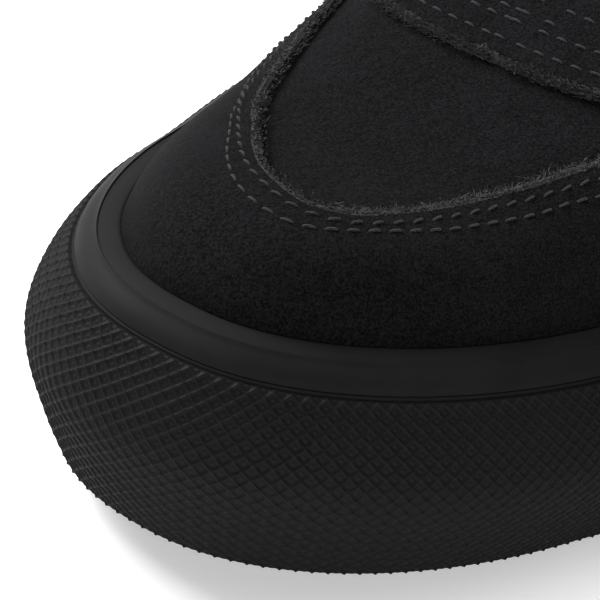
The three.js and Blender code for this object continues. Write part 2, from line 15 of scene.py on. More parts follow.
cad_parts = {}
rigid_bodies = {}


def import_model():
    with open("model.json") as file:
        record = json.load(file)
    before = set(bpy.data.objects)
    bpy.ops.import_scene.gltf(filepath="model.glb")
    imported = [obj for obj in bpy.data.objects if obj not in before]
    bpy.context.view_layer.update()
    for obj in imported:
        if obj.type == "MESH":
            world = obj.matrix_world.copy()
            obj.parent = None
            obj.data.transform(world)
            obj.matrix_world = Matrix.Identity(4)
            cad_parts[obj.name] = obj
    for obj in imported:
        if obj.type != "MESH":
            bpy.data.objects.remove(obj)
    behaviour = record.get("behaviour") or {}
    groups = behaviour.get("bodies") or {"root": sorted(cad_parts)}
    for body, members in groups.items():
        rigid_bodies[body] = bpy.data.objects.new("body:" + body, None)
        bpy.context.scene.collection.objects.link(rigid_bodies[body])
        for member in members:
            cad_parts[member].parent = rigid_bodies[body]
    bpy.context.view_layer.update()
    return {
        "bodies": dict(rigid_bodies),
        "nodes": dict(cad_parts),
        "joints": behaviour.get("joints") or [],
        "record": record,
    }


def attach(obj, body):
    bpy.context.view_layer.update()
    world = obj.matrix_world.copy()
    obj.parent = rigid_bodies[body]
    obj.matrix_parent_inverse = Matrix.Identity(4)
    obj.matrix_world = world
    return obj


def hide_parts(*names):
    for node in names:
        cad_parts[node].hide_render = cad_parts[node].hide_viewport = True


log = logging.getLogger("shoe")
MM = 0.001
MERGE = 0.002 * MM
Rows = tuple[tuple[float, ...], ...]


def table(rows: Rows, at: np.ndarray | float, column: int) -> np.ndarray:
    """Reads a smooth curve through one column of a short table.

    Args:
        rows: The table, with the place along it in the first column.
        at: Where to read it.
        column: Which column is read.

    Returns:
        The value at each place.
    """
    data = np.asarray(rows, float)
    x, y = data[:, 0], data[:, column]
    t = np.clip(np.asarray(at, float), x[0], x[-1])
    i = np.clip(np.searchsorted(x, t, side="left") - 1, 0, len(x) - 2)
    slope = np.empty_like(x)
    slope[1:-1] = (y[2:] - y[:-2]) / (x[2:] - x[:-2])
    slope[0] = (y[1] - y[0]) / (x[1] - x[0])
    slope[-1] = (y[-1] - y[-2]) / (x[-1] - x[-2])
    h = x[i + 1] - x[i]
    s = (t - x[i]) / h
    start = (1 + 2 * s) * (1 - s) ** 2 * y[i] + s * (1 - s) ** 2 * h * slope[i]
    end = s * s * (3 - 2 * s) * y[i + 1] + s * s * (s - 1) * h * slope[i + 1]
    return start + end


def smooth(value: np.ndarray | float) -> np.ndarray:
    """Eases a value from 0 to 1."""
    t = np.clip(value, 0.0, 1.0)
    return t * t * (3 - 2 * t)


def mix(a: np.ndarray | float, b: np.ndarray | float, t: np.ndarray | float) -> np.ndarray:
    """Blends between two values."""
    return a + (b - a) * t


def linear(hex_colour: str) -> tuple[float, float, float, float]:
    """Turns an sRGB hex colour into a linear one.

    Args:
        hex_colour: Six hex digits, with or without a leading mark.

    Returns:
        Red, green, blue and an alpha of 1.
    """
    digits = hex_colour.lstrip("#")
    parts = [int(digits[i:i + 2], 16) / 255 for i in (0, 2, 4)]
    lit = [c / 12.92 if c <= 0.04045 else ((c + 0.055) / 1.055) ** 2.4 for c in parts]
    return (lit[0], lit[1], lit[2], 1.0)


@dataclass
class Columns:
    """Places on the sole's outline, with the outward direction and the spine point of each."""

    x: np.ndarray
    y: np.ndarray
    nx: np.ndarray
    ny: np.ndarray
    sx: np.ndarray
    sy: np.ndarray
    spring: np.ndarray

    def wide(self) -> Columns:
        """Gives the same columns with a second axis for rows."""
        return Columns(*(getattr(self, name)[:, None] for name in self.__dataclass_fields__))

    def offset(self, out: np.ndarray | float, z: np.ndarray | float) -> np.ndarray:
        """Gives points that stand a stated distance out from the outline, at stated heights."""
        x = self.x + self.nx * out
        y = self.y + self.ny * out
        return np.stack(np.broadcast_arrays(x, y, z), axis=-1)


@dataclass
class Last:
    """The foot form and the sole outline that every piece of the shoe lies on, in millimetres."""

    sole_length: float = 292.0
    ball_width: float = 98.0
    heel_width: float = 78.0
    heel_round: float = 34.0
    toe_round: float = 42.3
    heel_power: float = 2.2
    toe_power: float = 2.02
    toe_side_power: float = 2.27
    toe_swing: float = -5.74
    instep_height: float = 100.0
    toe_height: float = 43.6
    heel_height: float = 80.0
    ankle_height: float = 64.0
    sole_thickness: float = 14.0
    toe_spring: float = 5.0
    heel_lift: float = 1.5
    arch_lift: float = 1.2
    spring_from: float = 0.685
    spring_run: float = 0.315
    heel_edge: float = 0.085
    arch_from: float = 0.33
    arch_run: float = 0.19
    widening_from: float = 0.22
    widening_run: float = 0.42
    toe_from: float = 0.548
    toe_run: float = 0.308
    skin_inset: float = 5.76
    foxing_height: float = 29.4
    outline: Rows = ((0, .436, .436), (.1, .487, .487), (.22, .513, .5), (.36, .481, .439), (.5, .464, .415),
                     (.65, .5, .471), (.74, .4878, .4857), (.855, .343, .4218), (1, .241, .3708))
    crest: Rows = ((0, 1.35, 0, 3, 3), (.12, 1.35, 0, 3, 3), (.24, 1.32, 0, 3, 3.2), (.34, 1.18, 0, 3, 3.3),
                   (.44, 1, 0, 2.7, 2.8), (.6, .6, .413, 2.35, 2.35), (.7, .3, .659, 2.75, 2.51),
                   (.85, 0, 1, 4.19, 3.17), (1, 0, 1.1, 4.31, 3.22))
    top_line: Rows = ((0, 1, 0, 0), (.06, .8, .22, 0), (.14, .3, .72, 0), (.24, 0, 1, 0), (.32, 0, .8, .17),
                      (.38, 0, .4, .53), (.42, 0, 0, .93), (.45, 0, 0, 1.18))
    throat_front: float = 78.5
    throat_front_width: float = 17.0
    throat_back_width: float = 28.0
    throat_round: float = 11.0
    throat_power: float = 2.4
    throat_back: float = 0.38
    shift: tuple[float, float] = (-148.75, -0.0997)
    rim: Columns = field(init=False)
    path: np.ndarray = field(init=False)
    tree: kdtree.KDTree = field(init=False)
    seeds: np.ndarray = field(init=False)

    def __post_init__(self) -> None:
        """Lays the outline out finely and measures along it."""
        self.rim = self._round_the_sole(260, 700)
        step = np.hypot(np.diff(self.rim.x, append=self.rim.x[0]), np.diff(self.rim.y, append=self.rim.y[0]))
        self.path = np.concatenate([[0.0], np.cumsum(step)])
        places = np.linspace(0, self.path[-1], 700, endpoint=False)
        angles = np.linspace(0.12, math.pi / 2, 70)
        grid = self.skin(self.at(places), angles[None, :], 0.0)
        self.seeds = np.stack(np.broadcast_arrays(places[:, None], angles[None, :]), axis=-1).reshape(-1, 2)
        flat = grid.reshape(-1, 3)
        self.tree = kdtree.KDTree(len(flat))
        for i, (x, y, _) in enumerate(flat):
            self.tree.insert((x, y, 0.0), i)
        self.tree.balance()

    @property
    def toe_centre(self) -> float:
        """Gives where the round of the toe starts."""
        return self.sole_length - self.toe_round

    @property
    def collar_end(self) -> float:
        """Gives how far forward of the heel the collar's top line reaches."""
        return self.top_line[-1][0] * self.sole_length

    def spine(self, x: np.ndarray | float) -> np.ndarray:
        """Gives the sideways place of the form's middle line."""
        start = 0.35 * self.sole_length
        return self.toe_swing * np.clip((x - start) / (self.toe_centre - start), 0, 1) ** 1.5

    def spring(self, x: np.ndarray | float) -> np.ndarray:
        """Gives how far the toe is raised off the floor."""
        along = np.clip((x / self.sole_length - self.spring_from) / self.spring_run, 0, 1)
        return self.toe_spring * along ** 2

    def ground(self, x: np.ndarray | float) -> np.ndarray:
        """Gives the height of the sole's underside: spring, heel edge and arch together."""
        heel = self.heel_lift * np.clip(1 - x / (self.heel_edge * self.sole_length), 0, 1) ** 2
        along = np.clip((x / self.sole_length - self.arch_from) / self.arch_run, 0, 1)
        arch = self.arch_lift * np.sin(math.pi * along) ** 2
        return self.spring(x) + heel + arch

    def top_height(self, x: np.ndarray | float) -> np.ndarray:
        """Gives the height of the collar's top line."""
        share = np.asarray(x) / self.sole_length
        heights = (self.heel_height, self.ankle_height, self.instep_height)
        return sum(table(self.top_line, share, k + 1) * height for k, height in enumerate(heights))

    def crest_height(self, x: np.ndarray | float) -> np.ndarray:
        """Gives the height of the form along its middle line."""
        share = np.asarray(x) / self.sole_length
        instep, toe = table(self.crest, share, 1), table(self.crest, share, 2)
        return instep * self.instep_height + toe * self.toe_height

    def toe_share(self, x: np.ndarray | float) -> np.ndarray:
        """Gives 0 along the sides and 1 round the toe."""
        return smooth((x / self.sole_length - self.toe_from) / self.toe_run)

    def edge(self, x: np.ndarray, share: np.ndarray, column: int, sign: float) -> np.ndarray:
        """Gives one side of the outline, with the share that its round end leaves of it."""
        widening = smooth((x / self.sole_length - self.widening_from) / self.widening_run)
        width = mix(self.heel_width, self.ball_width, widening)
        full = sign * table(self.outline, x / self.sole_length, column) * width
        return self.spine(x) + (full - self.spine(x)) * share

    def _round_the_sole(self, ends: int, middle: int) -> Columns:
        """Places columns from the heel tip along the outer side to the toe and back.

        Args:
            ends: Steps in each quarter of the heel and toe rounds.
            middle: Steps along each side.

        Returns:
            The columns, evenly spread in angle at the ends.
        """
        heel = np.linspace(0, math.pi / 2, ends, endpoint=False)
        run = 1 - (1 - np.linspace(0, 1, middle, endpoint=False)) ** 1.35
        toe = np.linspace(0, math.pi / 2, ends + 1)
        x = np.concatenate([self.heel_round * (1 - np.cos(heel) ** (2 / self.heel_power)),
                            mix(self.heel_round, self.toe_centre, run),
                            self.toe_centre + self.toe_round * np.sin(toe) ** (2 / self.toe_power)])
        share = np.concatenate([np.sin(heel) ** (2 / self.heel_power), np.ones(middle),
                                np.clip(np.cos(toe), 0, 1) ** (2 / self.toe_side_power)])
        share[-1] = 0.0
        outer, inner = self.edge(x, share, 1, 1.0), self.edge(x, share, 2, -1.0)
        x = np.concatenate([x, x[1:-1][::-1]])
        y = np.concatenate([outer, inner[1:-1][::-1]])
        dx = np.roll(x, -1) - np.roll(x, 1)
        dy = np.roll(y, -1) - np.roll(y, 1)
        size = np.hypot(dx, dy)
        sx = np.clip(x, self.heel_round, self.toe_centre)
        return Columns(x, y, -dy / size, dx / size, sx, self.spine(sx), self.spring(x))

    def at(self, places: np.ndarray) -> Columns:
        """Gives the columns at places measured round the outline from the heel tip, in millimetres."""
        wrapped = np.mod(places, self.path[-1])
        values = []
        for name in self.rim.__dataclass_fields__:
            ring = getattr(self.rim, name)
            values.append(np.interp(wrapped, self.path, np.append(ring, ring[0])))
        return Columns(*values)

    def place_of(self, x: float, outer: bool) -> float:
        """Gives the place round the outline of a distance from the heel, on the outer or inner side."""
        half = len(self.rim.x) // 2
        if outer:
            return float(np.interp(x, self.rim.x[:half + 1], self.path[:half + 1]))
        return float(np.interp(x, np.append(self.rim.x[half:], self.rim.x[0])[::-1], self.path[half:][::-1]))

    def skin(self, c: Columns, angle: np.ndarray | float, grow: np.ndarray | float) -> np.ndarray:
        """Gives points of the form: the angle runs from 0 at the sole to a quarter turn on the crest.

        Args:
            c: The columns, one for each row of the result.
            angle: One angle for all, one for each row, or a full grid.
            grow: How far the points stand out of the finished outer face.

        Returns:
            The points as a grid of columns by angles.
        """
        w = c.wide()
        bx = w.x + w.nx * (grow - self.skin_inset)
        by = w.y + w.ny * (grow - self.skin_inset)
        share = bx / self.sole_length
        rise = np.sin(angle) ** (2 / table(self.crest, share, 4))
        reach = np.clip(np.cos(angle), 0, 1) ** (2 / table(self.crest, share, 3))
        x = mix(w.sx, bx, reach)
        y = mix(w.sy, by, reach)
        crest = self.crest_height(x) + grow
        z = self.sole_thickness + w.spring * (1 - rise) + (crest - self.sole_thickness) * rise
        return np.stack(np.broadcast_arrays(x, y, z), axis=-1)

    def angle_at_height(self, c: Columns, height: np.ndarray | float, grow: float) -> np.ndarray:
        """Finds the angle at which each column reaches a height, or the crest where it doesn't."""
        low = np.zeros(len(c.x))
        high = np.full(len(c.x), math.pi / 2)
        for _ in range(26):
            middle = (low + high) / 2
            over = self.skin(c, middle[:, None], grow)[:, 0, 2] > height
            high = np.where(over, middle, high)
            low = np.where(over, low, middle)
        return (low + high) / 2

    def throat_half(self, x: np.ndarray) -> np.ndarray:
        """Gives half the width of the throat, rounded at its front end."""
        front = self.sole_length - self.throat_front
        back = self.throat_back * self.sole_length
        return rounded_half(x, front, self.throat_front_width / 2, back, self.throat_back_width / 2,
                            self.throat_round, self.throat_power)

    def angle_at_throat(self, c: Columns, grow: float) -> np.ndarray:
        """Finds the angle at which each column meets the throat's edge, or the crest in front of it."""
        low = np.zeros(len(c.x))
        high = np.full(len(c.x), math.pi / 2)
        for _ in range(26):
            middle = (low + high) / 2
            point = self.skin(c, middle[:, None], grow)[:, 0]
            inside = np.abs(point[:, 1] - self.spine(point[:, 0])) < self.throat_half(point[:, 0])
            inside &= point[:, 0] > 0.3 * self.sole_length
            high = np.where(inside, middle, high)
            low = np.where(inside, low, middle)
        return high

    def locate(self, points: np.ndarray, grow: float) -> np.ndarray:
        """Finds the place and angle of points given in plan.

        Args:
            points: Distances from the heel and sideways places.
            grow: How far the layer stands out of the finished outer face.

        Returns:
            Place round the outline and angle for each point.
        """
        found = np.array([self.seeds[self.tree.find((p[0], p[1], 0.0))[1]] for p in points])
        found[:, 1] = np.minimum(found[:, 1], math.pi / 2 - 0.01)
        for _ in range(12):
            here = self._plan(found, grow)
            along = (self._plan(found + [0.05, 0], grow) - here) / 0.05
            up = (self._plan(found + [0, 1e-4], grow) - here) / 1e-4
            miss = points[:, :2] - here
            det = along[:, 0] * up[:, 1] - along[:, 1] * up[:, 0]
            det = np.where(np.abs(det) < 1e-9, 1e-9, det)
            ds = (miss[:, 0] * up[:, 1] - miss[:, 1] * up[:, 0]) / det
            da = (along[:, 0] * miss[:, 1] - along[:, 1] * miss[:, 0]) / det
            found = found + np.stack([np.clip(ds, -6, 6), np.clip(da, -0.2, 0.2)], axis=-1)
            found[:, 1] = np.clip(found[:, 1], 0.02, math.pi / 2 - 2e-3)
        return found

    def _plan(self, found: np.ndarray, grow: float) -> np.ndarray:
        """Gives the plan place of points named by place and angle."""
        return self.skin(self.at(found[:, 0]), found[:, 1][:, None], grow)[:, 0, :2]

    def lay(self, points: np.ndarray, grow: np.ndarray | float) -> np.ndarray:
        """Lays a run of plan points on the form at one or several growths."""
        found = self.locate(points, float(np.mean(grow)))
        return self.skin(self.at(found[:, 0]), found[:, 1][:, None], np.reshape(grow, (-1, 1)))[:, 0]

    def metres(self, points: np.ndarray) -> np.ndarray:
        """Turns the form's millimetres into the row's metres."""
        return (np.asarray(points, float) + [self.shift[0], self.shift[1], 0.0]) * MM


def rounded_half(x: np.ndarray, front: float, front_half: float, back: float, back_half: float,
                 depth: float, power: float) -> np.ndarray:
    """Gives the half width of a slot or panel whose front end is round."""
    into = np.clip((front - x) / depth, 0, 1)
    full = mix(front_half, back_half, np.clip((front - x) / (front - back), 0, 1))
    return full * (1 - (1 - into) ** power) ** (1 / power)


def ragged(count: int, step: float, size: float, seed: int) -> np.ndarray:
    """Gives an uneven line, as of a cut edge: slow waves with short tufts on them.

    Args:
        count: How many values are wanted.
        step: The distance between neighbours in millimetres.
        size: The largest swing in millimetres.
        seed: The seed of the unevenness.

    Returns:
        The swings.
    """
    rng = np.random.default_rng(seed)
    total = np.zeros(count)
    for wave, share in ((5.0, 0.35), (1.6, 0.35), (0.7, 0.3)):
        knots = max(3, round(count * step / wave) + 2)
        at = np.linspace(0, knots - 1, count)
        total += share * np.interp(at, np.arange(knots), rng.uniform(-1, 1, knots))
    return total * size


def arc_spread(line: np.ndarray, step: float) -> np.ndarray:
    """Spreads points evenly along a line.

    Args:
        line: The line's own points.
        step: The distance wanted between neighbours.

    Returns:
        Points at even distances, both ends kept.
    """
    size = np.concatenate([[0.0], np.cumsum(np.linalg.norm(np.diff(line, axis=0), axis=1))])
    count = max(2, round(size[-1] / step) + 1)
    wanted = np.linspace(0, size[-1], count)
    return np.stack([np.interp(wanted, size, line[:, k]) for k in range(line.shape[1])], axis=-1)


def curve_through(points: np.ndarray, count: int) -> np.ndarray:
    """Draws a smooth open curve through a few given points."""
    knots = np.concatenate([[0.0], np.cumsum(np.linalg.norm(np.diff(points, axis=0), axis=1))])
    wanted = np.linspace(0, knots[-1], count)
    columns = []
    for k in range(points.shape[1]):
        rows = tuple(zip(knots, points[:, k]))
        columns.append(table(rows, wanted, 1))
    return np.stack(columns, axis=-1)


def deselect() -> None:
    """Clears the selection before an operator acts."""
    for obj in bpy.context.selected_objects:
        obj.select_set(False)


def pick(obj: bpy.types.Object) -> None:
    """Selects one object alone and makes it active."""
    deselect()
    bpy.context.view_layer.objects.active = obj
    obj.select_set(True)


def finish_mesh(obj: bpy.types.Object, angle: float) -> bpy.types.Object:
    """Merges doubles, turns faces outwards and shades a mesh smooth up to an angle.

    Args:
        obj: The mesh object.
        angle: The sharpest edge that is still shaded smooth, in degrees.

    Returns:
        The same object.
    """
    pick(obj)
    bpy.ops.object.mode_set(mode="EDIT")
    bpy.ops.mesh.select_all(action="SELECT")
    bpy.ops.mesh.remove_doubles(threshold=MERGE)
    bpy.ops.mesh.dissolve_degenerate(threshold=1e-7)
    bpy.ops.mesh.select_all(action="SELECT")
    bpy.ops.mesh.normals_make_consistent(inside=False)
    bpy.ops.object.mode_set(mode="OBJECT")
    bpy.ops.object.shade_smooth_by_angle(angle=math.radians(angle))
    return obj


def laid_grid(name: str, points: np.ndarray, close_first: bool = False, close_second: bool = False,
              angle: float = 50.0, cap_ends: bool = False, ridges: np.ndarray | None = None,
              marks: np.ndarray | None = None) -> bpy.types.Object:
    """Adds a grid primitive and lays it over a field of points.

    Args:
        name: The new object's name.
        points: Points in metres, as first by second by three.
        close_first: Whether the first direction runs round into itself.
        close_second: Whether the second direction runs round into itself.
        angle: The sharpest edge that is still shaded smooth, in degrees.
        cap_ends: Whether open ends of the first direction are filled.
        ridges: Heights whose crests the faces' diagonals follow.
        marks: A vector for each point that a pattern reads as the attribute "pattern".

    Returns:
        The finished mesh object.
    """
    field_points = points
    if close_first:
        field_points = np.concatenate([field_points, field_points[:1]], axis=0)
    if close_second:
        field_points = np.concatenate([field_points, field_points[:, :1]], axis=1)
    first, second = field_points.shape[:2]
    deselect()
    bpy.ops.mesh.primitive_grid_add(x_subdivisions=second - 1, y_subdivisions=first - 1, size=1.0)
    obj = bpy.context.object
    obj.name = name
    obj.data.name = name
    obj.data.vertices.foreach_set("co", np.ascontiguousarray(field_points, dtype=np.float32).ravel())
    obj.data.update()
    while obj.data.uv_layers:
        obj.data.uv_layers.remove(obj.data.uv_layers[0])
    if ridges is not None:
        high = np.concatenate([ridges, ridges[:, :1]], axis=1) if close_second else ridges
        split_along_ridges(obj, high.ravel())
    if marks is not None:
        every = np.concatenate([marks, marks[:, :1]], axis=1) if close_second else marks
        values = obj.data.attributes.new("pattern", "FLOAT_VECTOR", "POINT")
        values.data.foreach_set("vector", np.ascontiguousarray(every, dtype=np.float32).ravel())
    if cap_ends:
        fill_open_edges(obj)
    return finish_mesh(obj, angle)


def split_along_ridges(obj: bpy.types.Object, high: np.ndarray) -> None:
    """Cuts each four-sided face along the diagonal that lies higher, so that crossing ridges stay sharp."""
    corners = np.empty(len(obj.data.loops), dtype=np.int64)
    obj.data.loops.foreach_get("vertex_index", corners)
    quads = corners.reshape(-1, 4)
    first = high[quads[:, 0]] + high[quads[:, 2]] >= high[quads[:, 1]] + high[quads[:, 3]]
    order = np.where(first[:, None], [0, 1, 2, 0, 2, 3], [1, 2, 3, 1, 3, 0])
    faces = np.take_along_axis(quads, order, axis=1).reshape(-1, 3)
    places = [vertex.co[:] for vertex in obj.data.vertices]
    name = obj.data.name
    old = obj.data
    obj.data = bpy.data.meshes.new(name)
    obj.data.from_pydata(places, [], faces.tolist())
    bpy.data.meshes.remove(old)


def fill_open_edges(obj: bpy.types.Object) -> None:
    """Merges the seam of a tube and fills its open ends."""
    pick(obj)
    bpy.ops.object.mode_set(mode="EDIT")
    bpy.ops.mesh.select_all(action="SELECT")
    bpy.ops.mesh.remove_doubles(threshold=MERGE)
    bpy.ops.mesh.select_all(action="DESELECT")
    bpy.ops.object.mode_set(mode="OBJECT")
    shape = bmesh.new()
    shape.from_mesh(obj.data)
    open_edges = [edge for edge in shape.edges if edge.is_boundary]
    if open_edges:
        bmesh.ops.holes_fill(shape, edges=open_edges, sides=0)
    shape.to_mesh(obj.data)
    shape.free()


def apply_modifier(obj: bpy.types.Object, kind: str, **settings: float | int | str | bool) -> None:
    """Adds a modifier with its settings and applies it."""
    pick(obj)
    modifier = obj.modifiers.new(kind.title(), kind)
    for name, value in settings.items():
        setattr(modifier, name, value)
    bpy.ops.object.modifier_apply(modifier=modifier.name)


def copies(name: str, pattern: bpy.types.Object, places: list[Matrix]) -> bpy.types.Object:
    """Copies one modelled pattern to many places as one mesh.

    Args:
        name: The new object's name.
        pattern: The modelled piece, which is removed afterwards.
        places: Where each copy goes, in the row's metres.

    Returns:
        The joined object.
    """
    count = len(pattern.data.vertices)
    base = np.empty(count * 3)
    pattern.data.vertices.foreach_get("co", base)
    base = np.concatenate([base.reshape(-1, 3), np.ones((count, 1))], axis=1)
    faces = [tuple(face.vertices) for face in pattern.data.polygons]
    stacked = np.stack([np.array(place) for place in places])
    points = np.einsum("nij,vj->nvi", stacked, base)[..., :3].reshape(-1, 3)
    every = [tuple(index + k * count for index in face) for k in range(len(places)) for face in faces]
    mesh = bpy.data.meshes.new(name)
    mesh.from_pydata(points.tolist(), [], every)
    obj = bpy.data.objects.new(name, mesh)
    bpy.context.scene.collection.objects.link(obj)
    bpy.data.objects.remove(pattern)
    pick(obj)
    bpy.ops.object.shade_smooth_by_angle(angle=math.radians(60))
    return obj


def node(tree: bpy.types.NodeTree, kind: str, inputs: dict[str | int, object] | None = None,
         **settings: object) -> bpy.types.Node:
    """Adds a shader node with its settings, values and links.

    Args:
        tree: The material's node tree.
        kind: The node type without its ShaderNode prefix.
        inputs: Values or output sockets for named or numbered inputs.
        settings: Attributes of the node.

    Returns:
        The new node.
    """
    made = tree.nodes.new("ShaderNode" + kind)
    for name, value in settings.items():
        setattr(made, name, value)
    for name, value in (inputs or {}).items():
        if isinstance(value, bpy.types.NodeSocket):
            tree.links.new(value, made.inputs[name])
        else:
            made.inputs[name].default_value = value
    return made


def new_material(name: str) -> tuple[bpy.types.Material, bpy.types.NodeTree, bpy.types.Node]:
    """Starts a material and gives it with its tree and its surface shader."""
    material = bpy.data.materials.new(name)
    material.use_nodes = True
    tree = material.node_tree
    return material, tree, tree.nodes["Principled BSDF"]


def ramp(tree: bpy.types.NodeTree, value: bpy.types.NodeSocket,
         stops: tuple[tuple[float, str], ...]) -> bpy.types.Node:
    """Adds a colour ramp with sRGB hex stops."""
    made = node(tree, "ValToRGB", {0: value})
    while len(made.color_ramp.elements) < len(stops):
        made.color_ramp.elements.new(0.5)
    for element, (place, colour) in zip(made.color_ramp.elements, stops):
        element.position = place
        element.color = linear(colour)
    return made


@dataclass(frozen=True)
class Suede:
    """Napped cowhide split: a soft, matt, dark pile whose fibres catch a little light at grazing angles."""

    # Single nap fibres are finer than a pixel, so the pile is drawn as tufts, as coarse as it needs to show.
    name: str
    dark: str = "020203"
    light: str = "1a191b"
    nap_mm: float = 0.31
    patch_mm: float = 9.0
    bump: float = 1.0
    sheen: float = 0.03

    def build(self) -> bpy.types.Material:
        """Makes the material from fibre noise, brushed patches and a faint sheen."""
        material, tree, surface = new_material(self.name)
        place = node(tree, "TexCoord").outputs["Object"]
        stretch = node(tree, "Mapping", {"Vector": place, "Scale": (1.0, 0.8, 1.0)}).outputs[0]
        nap = node(tree, "TexNoise", {"Vector": stretch, "Scale": 1 / (self.nap_mm * MM), "Detail": 3.0,
                                      "Roughness": 0.8})
        tuft = node(tree, "TexNoise", {"Vector": place, "Scale": 1 / (4.5 * self.nap_mm * MM), "Detail": 3.0,
                                       "Roughness": 0.6})
        patch = node(tree, "TexNoise", {"Vector": place, "Scale": 1 / (self.patch_mm * MM), "Detail": 2.0})
        tone = node(tree, "Math", {0: nap.outputs["Fac"], 1: 2.8, 2: -1.13}, operation="MULTIPLY_ADD")
        for layer, weight in ((tuft, 0.35), (patch, 0.3)):
            tone = node(tree, "Math", {0: layer.outputs["Fac"], 1: weight, 2: tone.outputs[0]},
                        operation="MULTIPLY_ADD")
        colour = ramp(tree, tone.outputs[0], ((0.3, self.dark), (0.95, self.light)))
        tree.links.new(colour.outputs[0], surface.inputs["Base Color"])
        surface.inputs["Roughness"].default_value = 0.95
        surface.inputs["Specular IOR Level"].default_value = 0.06
        surface.inputs["Sheen Weight"].default_value = self.sheen
        surface.inputs["Sheen Roughness"].default_value = 0.45
        surface.inputs["Sheen Tint"].default_value = linear("8f8b8c")
        fine = node(tree, "Bump", {"Height": nap.outputs["Fac"], "Strength": self.bump, "Distance": 0.3 * MM})
        coarse = node(tree, "Bump", {"Height": tuft.outputs["Fac"], "Strength": self.bump,
                                     "Distance": 0.35 * MM, "Normal": fine.outputs[0]})
        tree.links.new(coarse.outputs[0], surface.inputs["Normal"])
        return material


@dataclass(frozen=True)
class Rubber:
    """Vulcanised black rubber: satin, with faint handling marks, dust and a softly uneven cured skin."""

    name: str
    base: str = "1b1b1c"
    dusty: str = "2b2b2c"
    roughness: float = 0.42
    grain_mm: float = 0.5
    bump: float = 0.12
    gloss: float = 0.16
    knurled: bool = False
    cloud_mm: float = 14.0
    # Colour painted on the knurl's crests and tips: a painted highlight.
    worn: str = "1f1f1f"

    def build(self) -> bpy.types.Material:
        """Makes the material from cured-skin noise and a slightly varied gloss."""
        material, tree, surface = new_material(self.name)
        place = node(tree, "TexCoord").outputs["Object"]
        grain = node(tree, "TexNoise", {"Vector": place, "Scale": 1 / (self.grain_mm * MM), "Detail": 3.0})
        cloud = node(tree, "TexNoise", {"Vector": place, "Scale": 1 / (self.cloud_mm * MM), "Detail": 4.0,
                                        "Roughness": 0.6})
        colour = ramp(tree, cloud.outputs["Fac"], ((0.35, self.base), (0.75, self.dusty)))
        tree.links.new(colour.outputs[0], surface.inputs["Base Color"])
        gloss = node(tree, "MapRange", {"Value": cloud.outputs["Fac"], "From Min": 0.3, "From Max": 0.7,
                                        "To Min": self.roughness - 0.05, "To Max": self.roughness + 0.07})
        tree.links.new(gloss.outputs[0], surface.inputs["Roughness"])
        surface.inputs["IOR"].default_value = 1.52
        surface.inputs["Specular IOR Level"].default_value = self.gloss
        skin = node(tree, "Bump", {"Height": grain.outputs["Fac"], "Strength": self.bump,
                                   "Distance": 0.08 * MM})
        if self.knurled:
            skin = self.knurl(tree, surface, colour.outputs[0], skin.outputs[0])
        wave = node(tree, "Bump", {"Height": cloud.outputs["Fac"], "Strength": 0.25, "Distance": 0.3 * MM,
                                   "Normal": skin.outputs[0]})
        tree.links.new(wave.outputs[0], surface.inputs["Normal"])
        return material

    def knurl(self, tree: bpy.types.NodeTree, surface: bpy.types.Node, colour: bpy.types.NodeSocket,
              normal: bpy.types.NodeSocket) -> bpy.types.Node:
        """Draws the knurl's thin crests and low tips, whose tops are painted lighter than what lies between:
        a painted highlight.

        Args:
            tree: The material's node tree.
            surface: Its surface shader.
            colour: The rubber's colour.
            normal: The normal under the crests.

        Returns:
            The bump node that carries the crests.
        """
        marks = node(tree, "Attribute", attribute_name="pattern")
        parts = node(tree, "SeparateXYZ", {0: marks.outputs["Vector"]})
        crests = []
        hills = []
        for k in (0, 1):
            part = node(tree, "Math", {0: parts.outputs[k]}, operation="FRACT")
            part = node(tree, "Math", {0: part.outputs[0], 1: 0.5}, operation="SUBTRACT")
            part = node(tree, "Math", {0: part.outputs[0]}, operation="ABSOLUTE")
            for found, low, high in ((crests, 0.38, 0.5), (hills, 0.26, 0.0)):
                eased = node(tree, "MapRange", {"Value": part.outputs[0], "From Min": low, "From Max": high},
                             interpolation_type="SMOOTHSTEP")
                found.append(eased.outputs[0])
        line = node(tree, "Math", {0: crests[0], 1: crests[1]}, operation="MAXIMUM")
        meet = node(tree, "Math", {0: crests[0], 1: crests[1]}, operation="MULTIPLY")
        tip = node(tree, "Math", {0: hills[0], 1: hills[1]}, operation="MULTIPLY")
        soft = node(tree, "Math", {0: line.outputs[0], 1: 0.42}, operation="MULTIPLY")
        both = node(tree, "Math", {0: meet.outputs[0], 1: 1.15, 2: soft.outputs[0]}, operation="MULTIPLY_ADD")
        both = node(tree, "Math", {0: tip.outputs[0], 1: both.outputs[0]}, operation="ADD")
        # The crests, crossings and tips are painted lighter: a painted highlight.
        worn = node(tree, "Math", {0: both.outputs[0], 1: 0.42}, operation="MULTIPLY")
        pale = node(tree, "Mix", {"Factor": worn.outputs[0], 6: colour, 7: linear(self.worn)},
                    data_type="RGBA")
        tree.links.new(pale.outputs[2], surface.inputs["Base Color"])
        return node(tree, "Bump", {"Height": both.outputs[0], "Strength": 0.6, "Distance": 0.16 * MM,
                                   "Normal": normal})


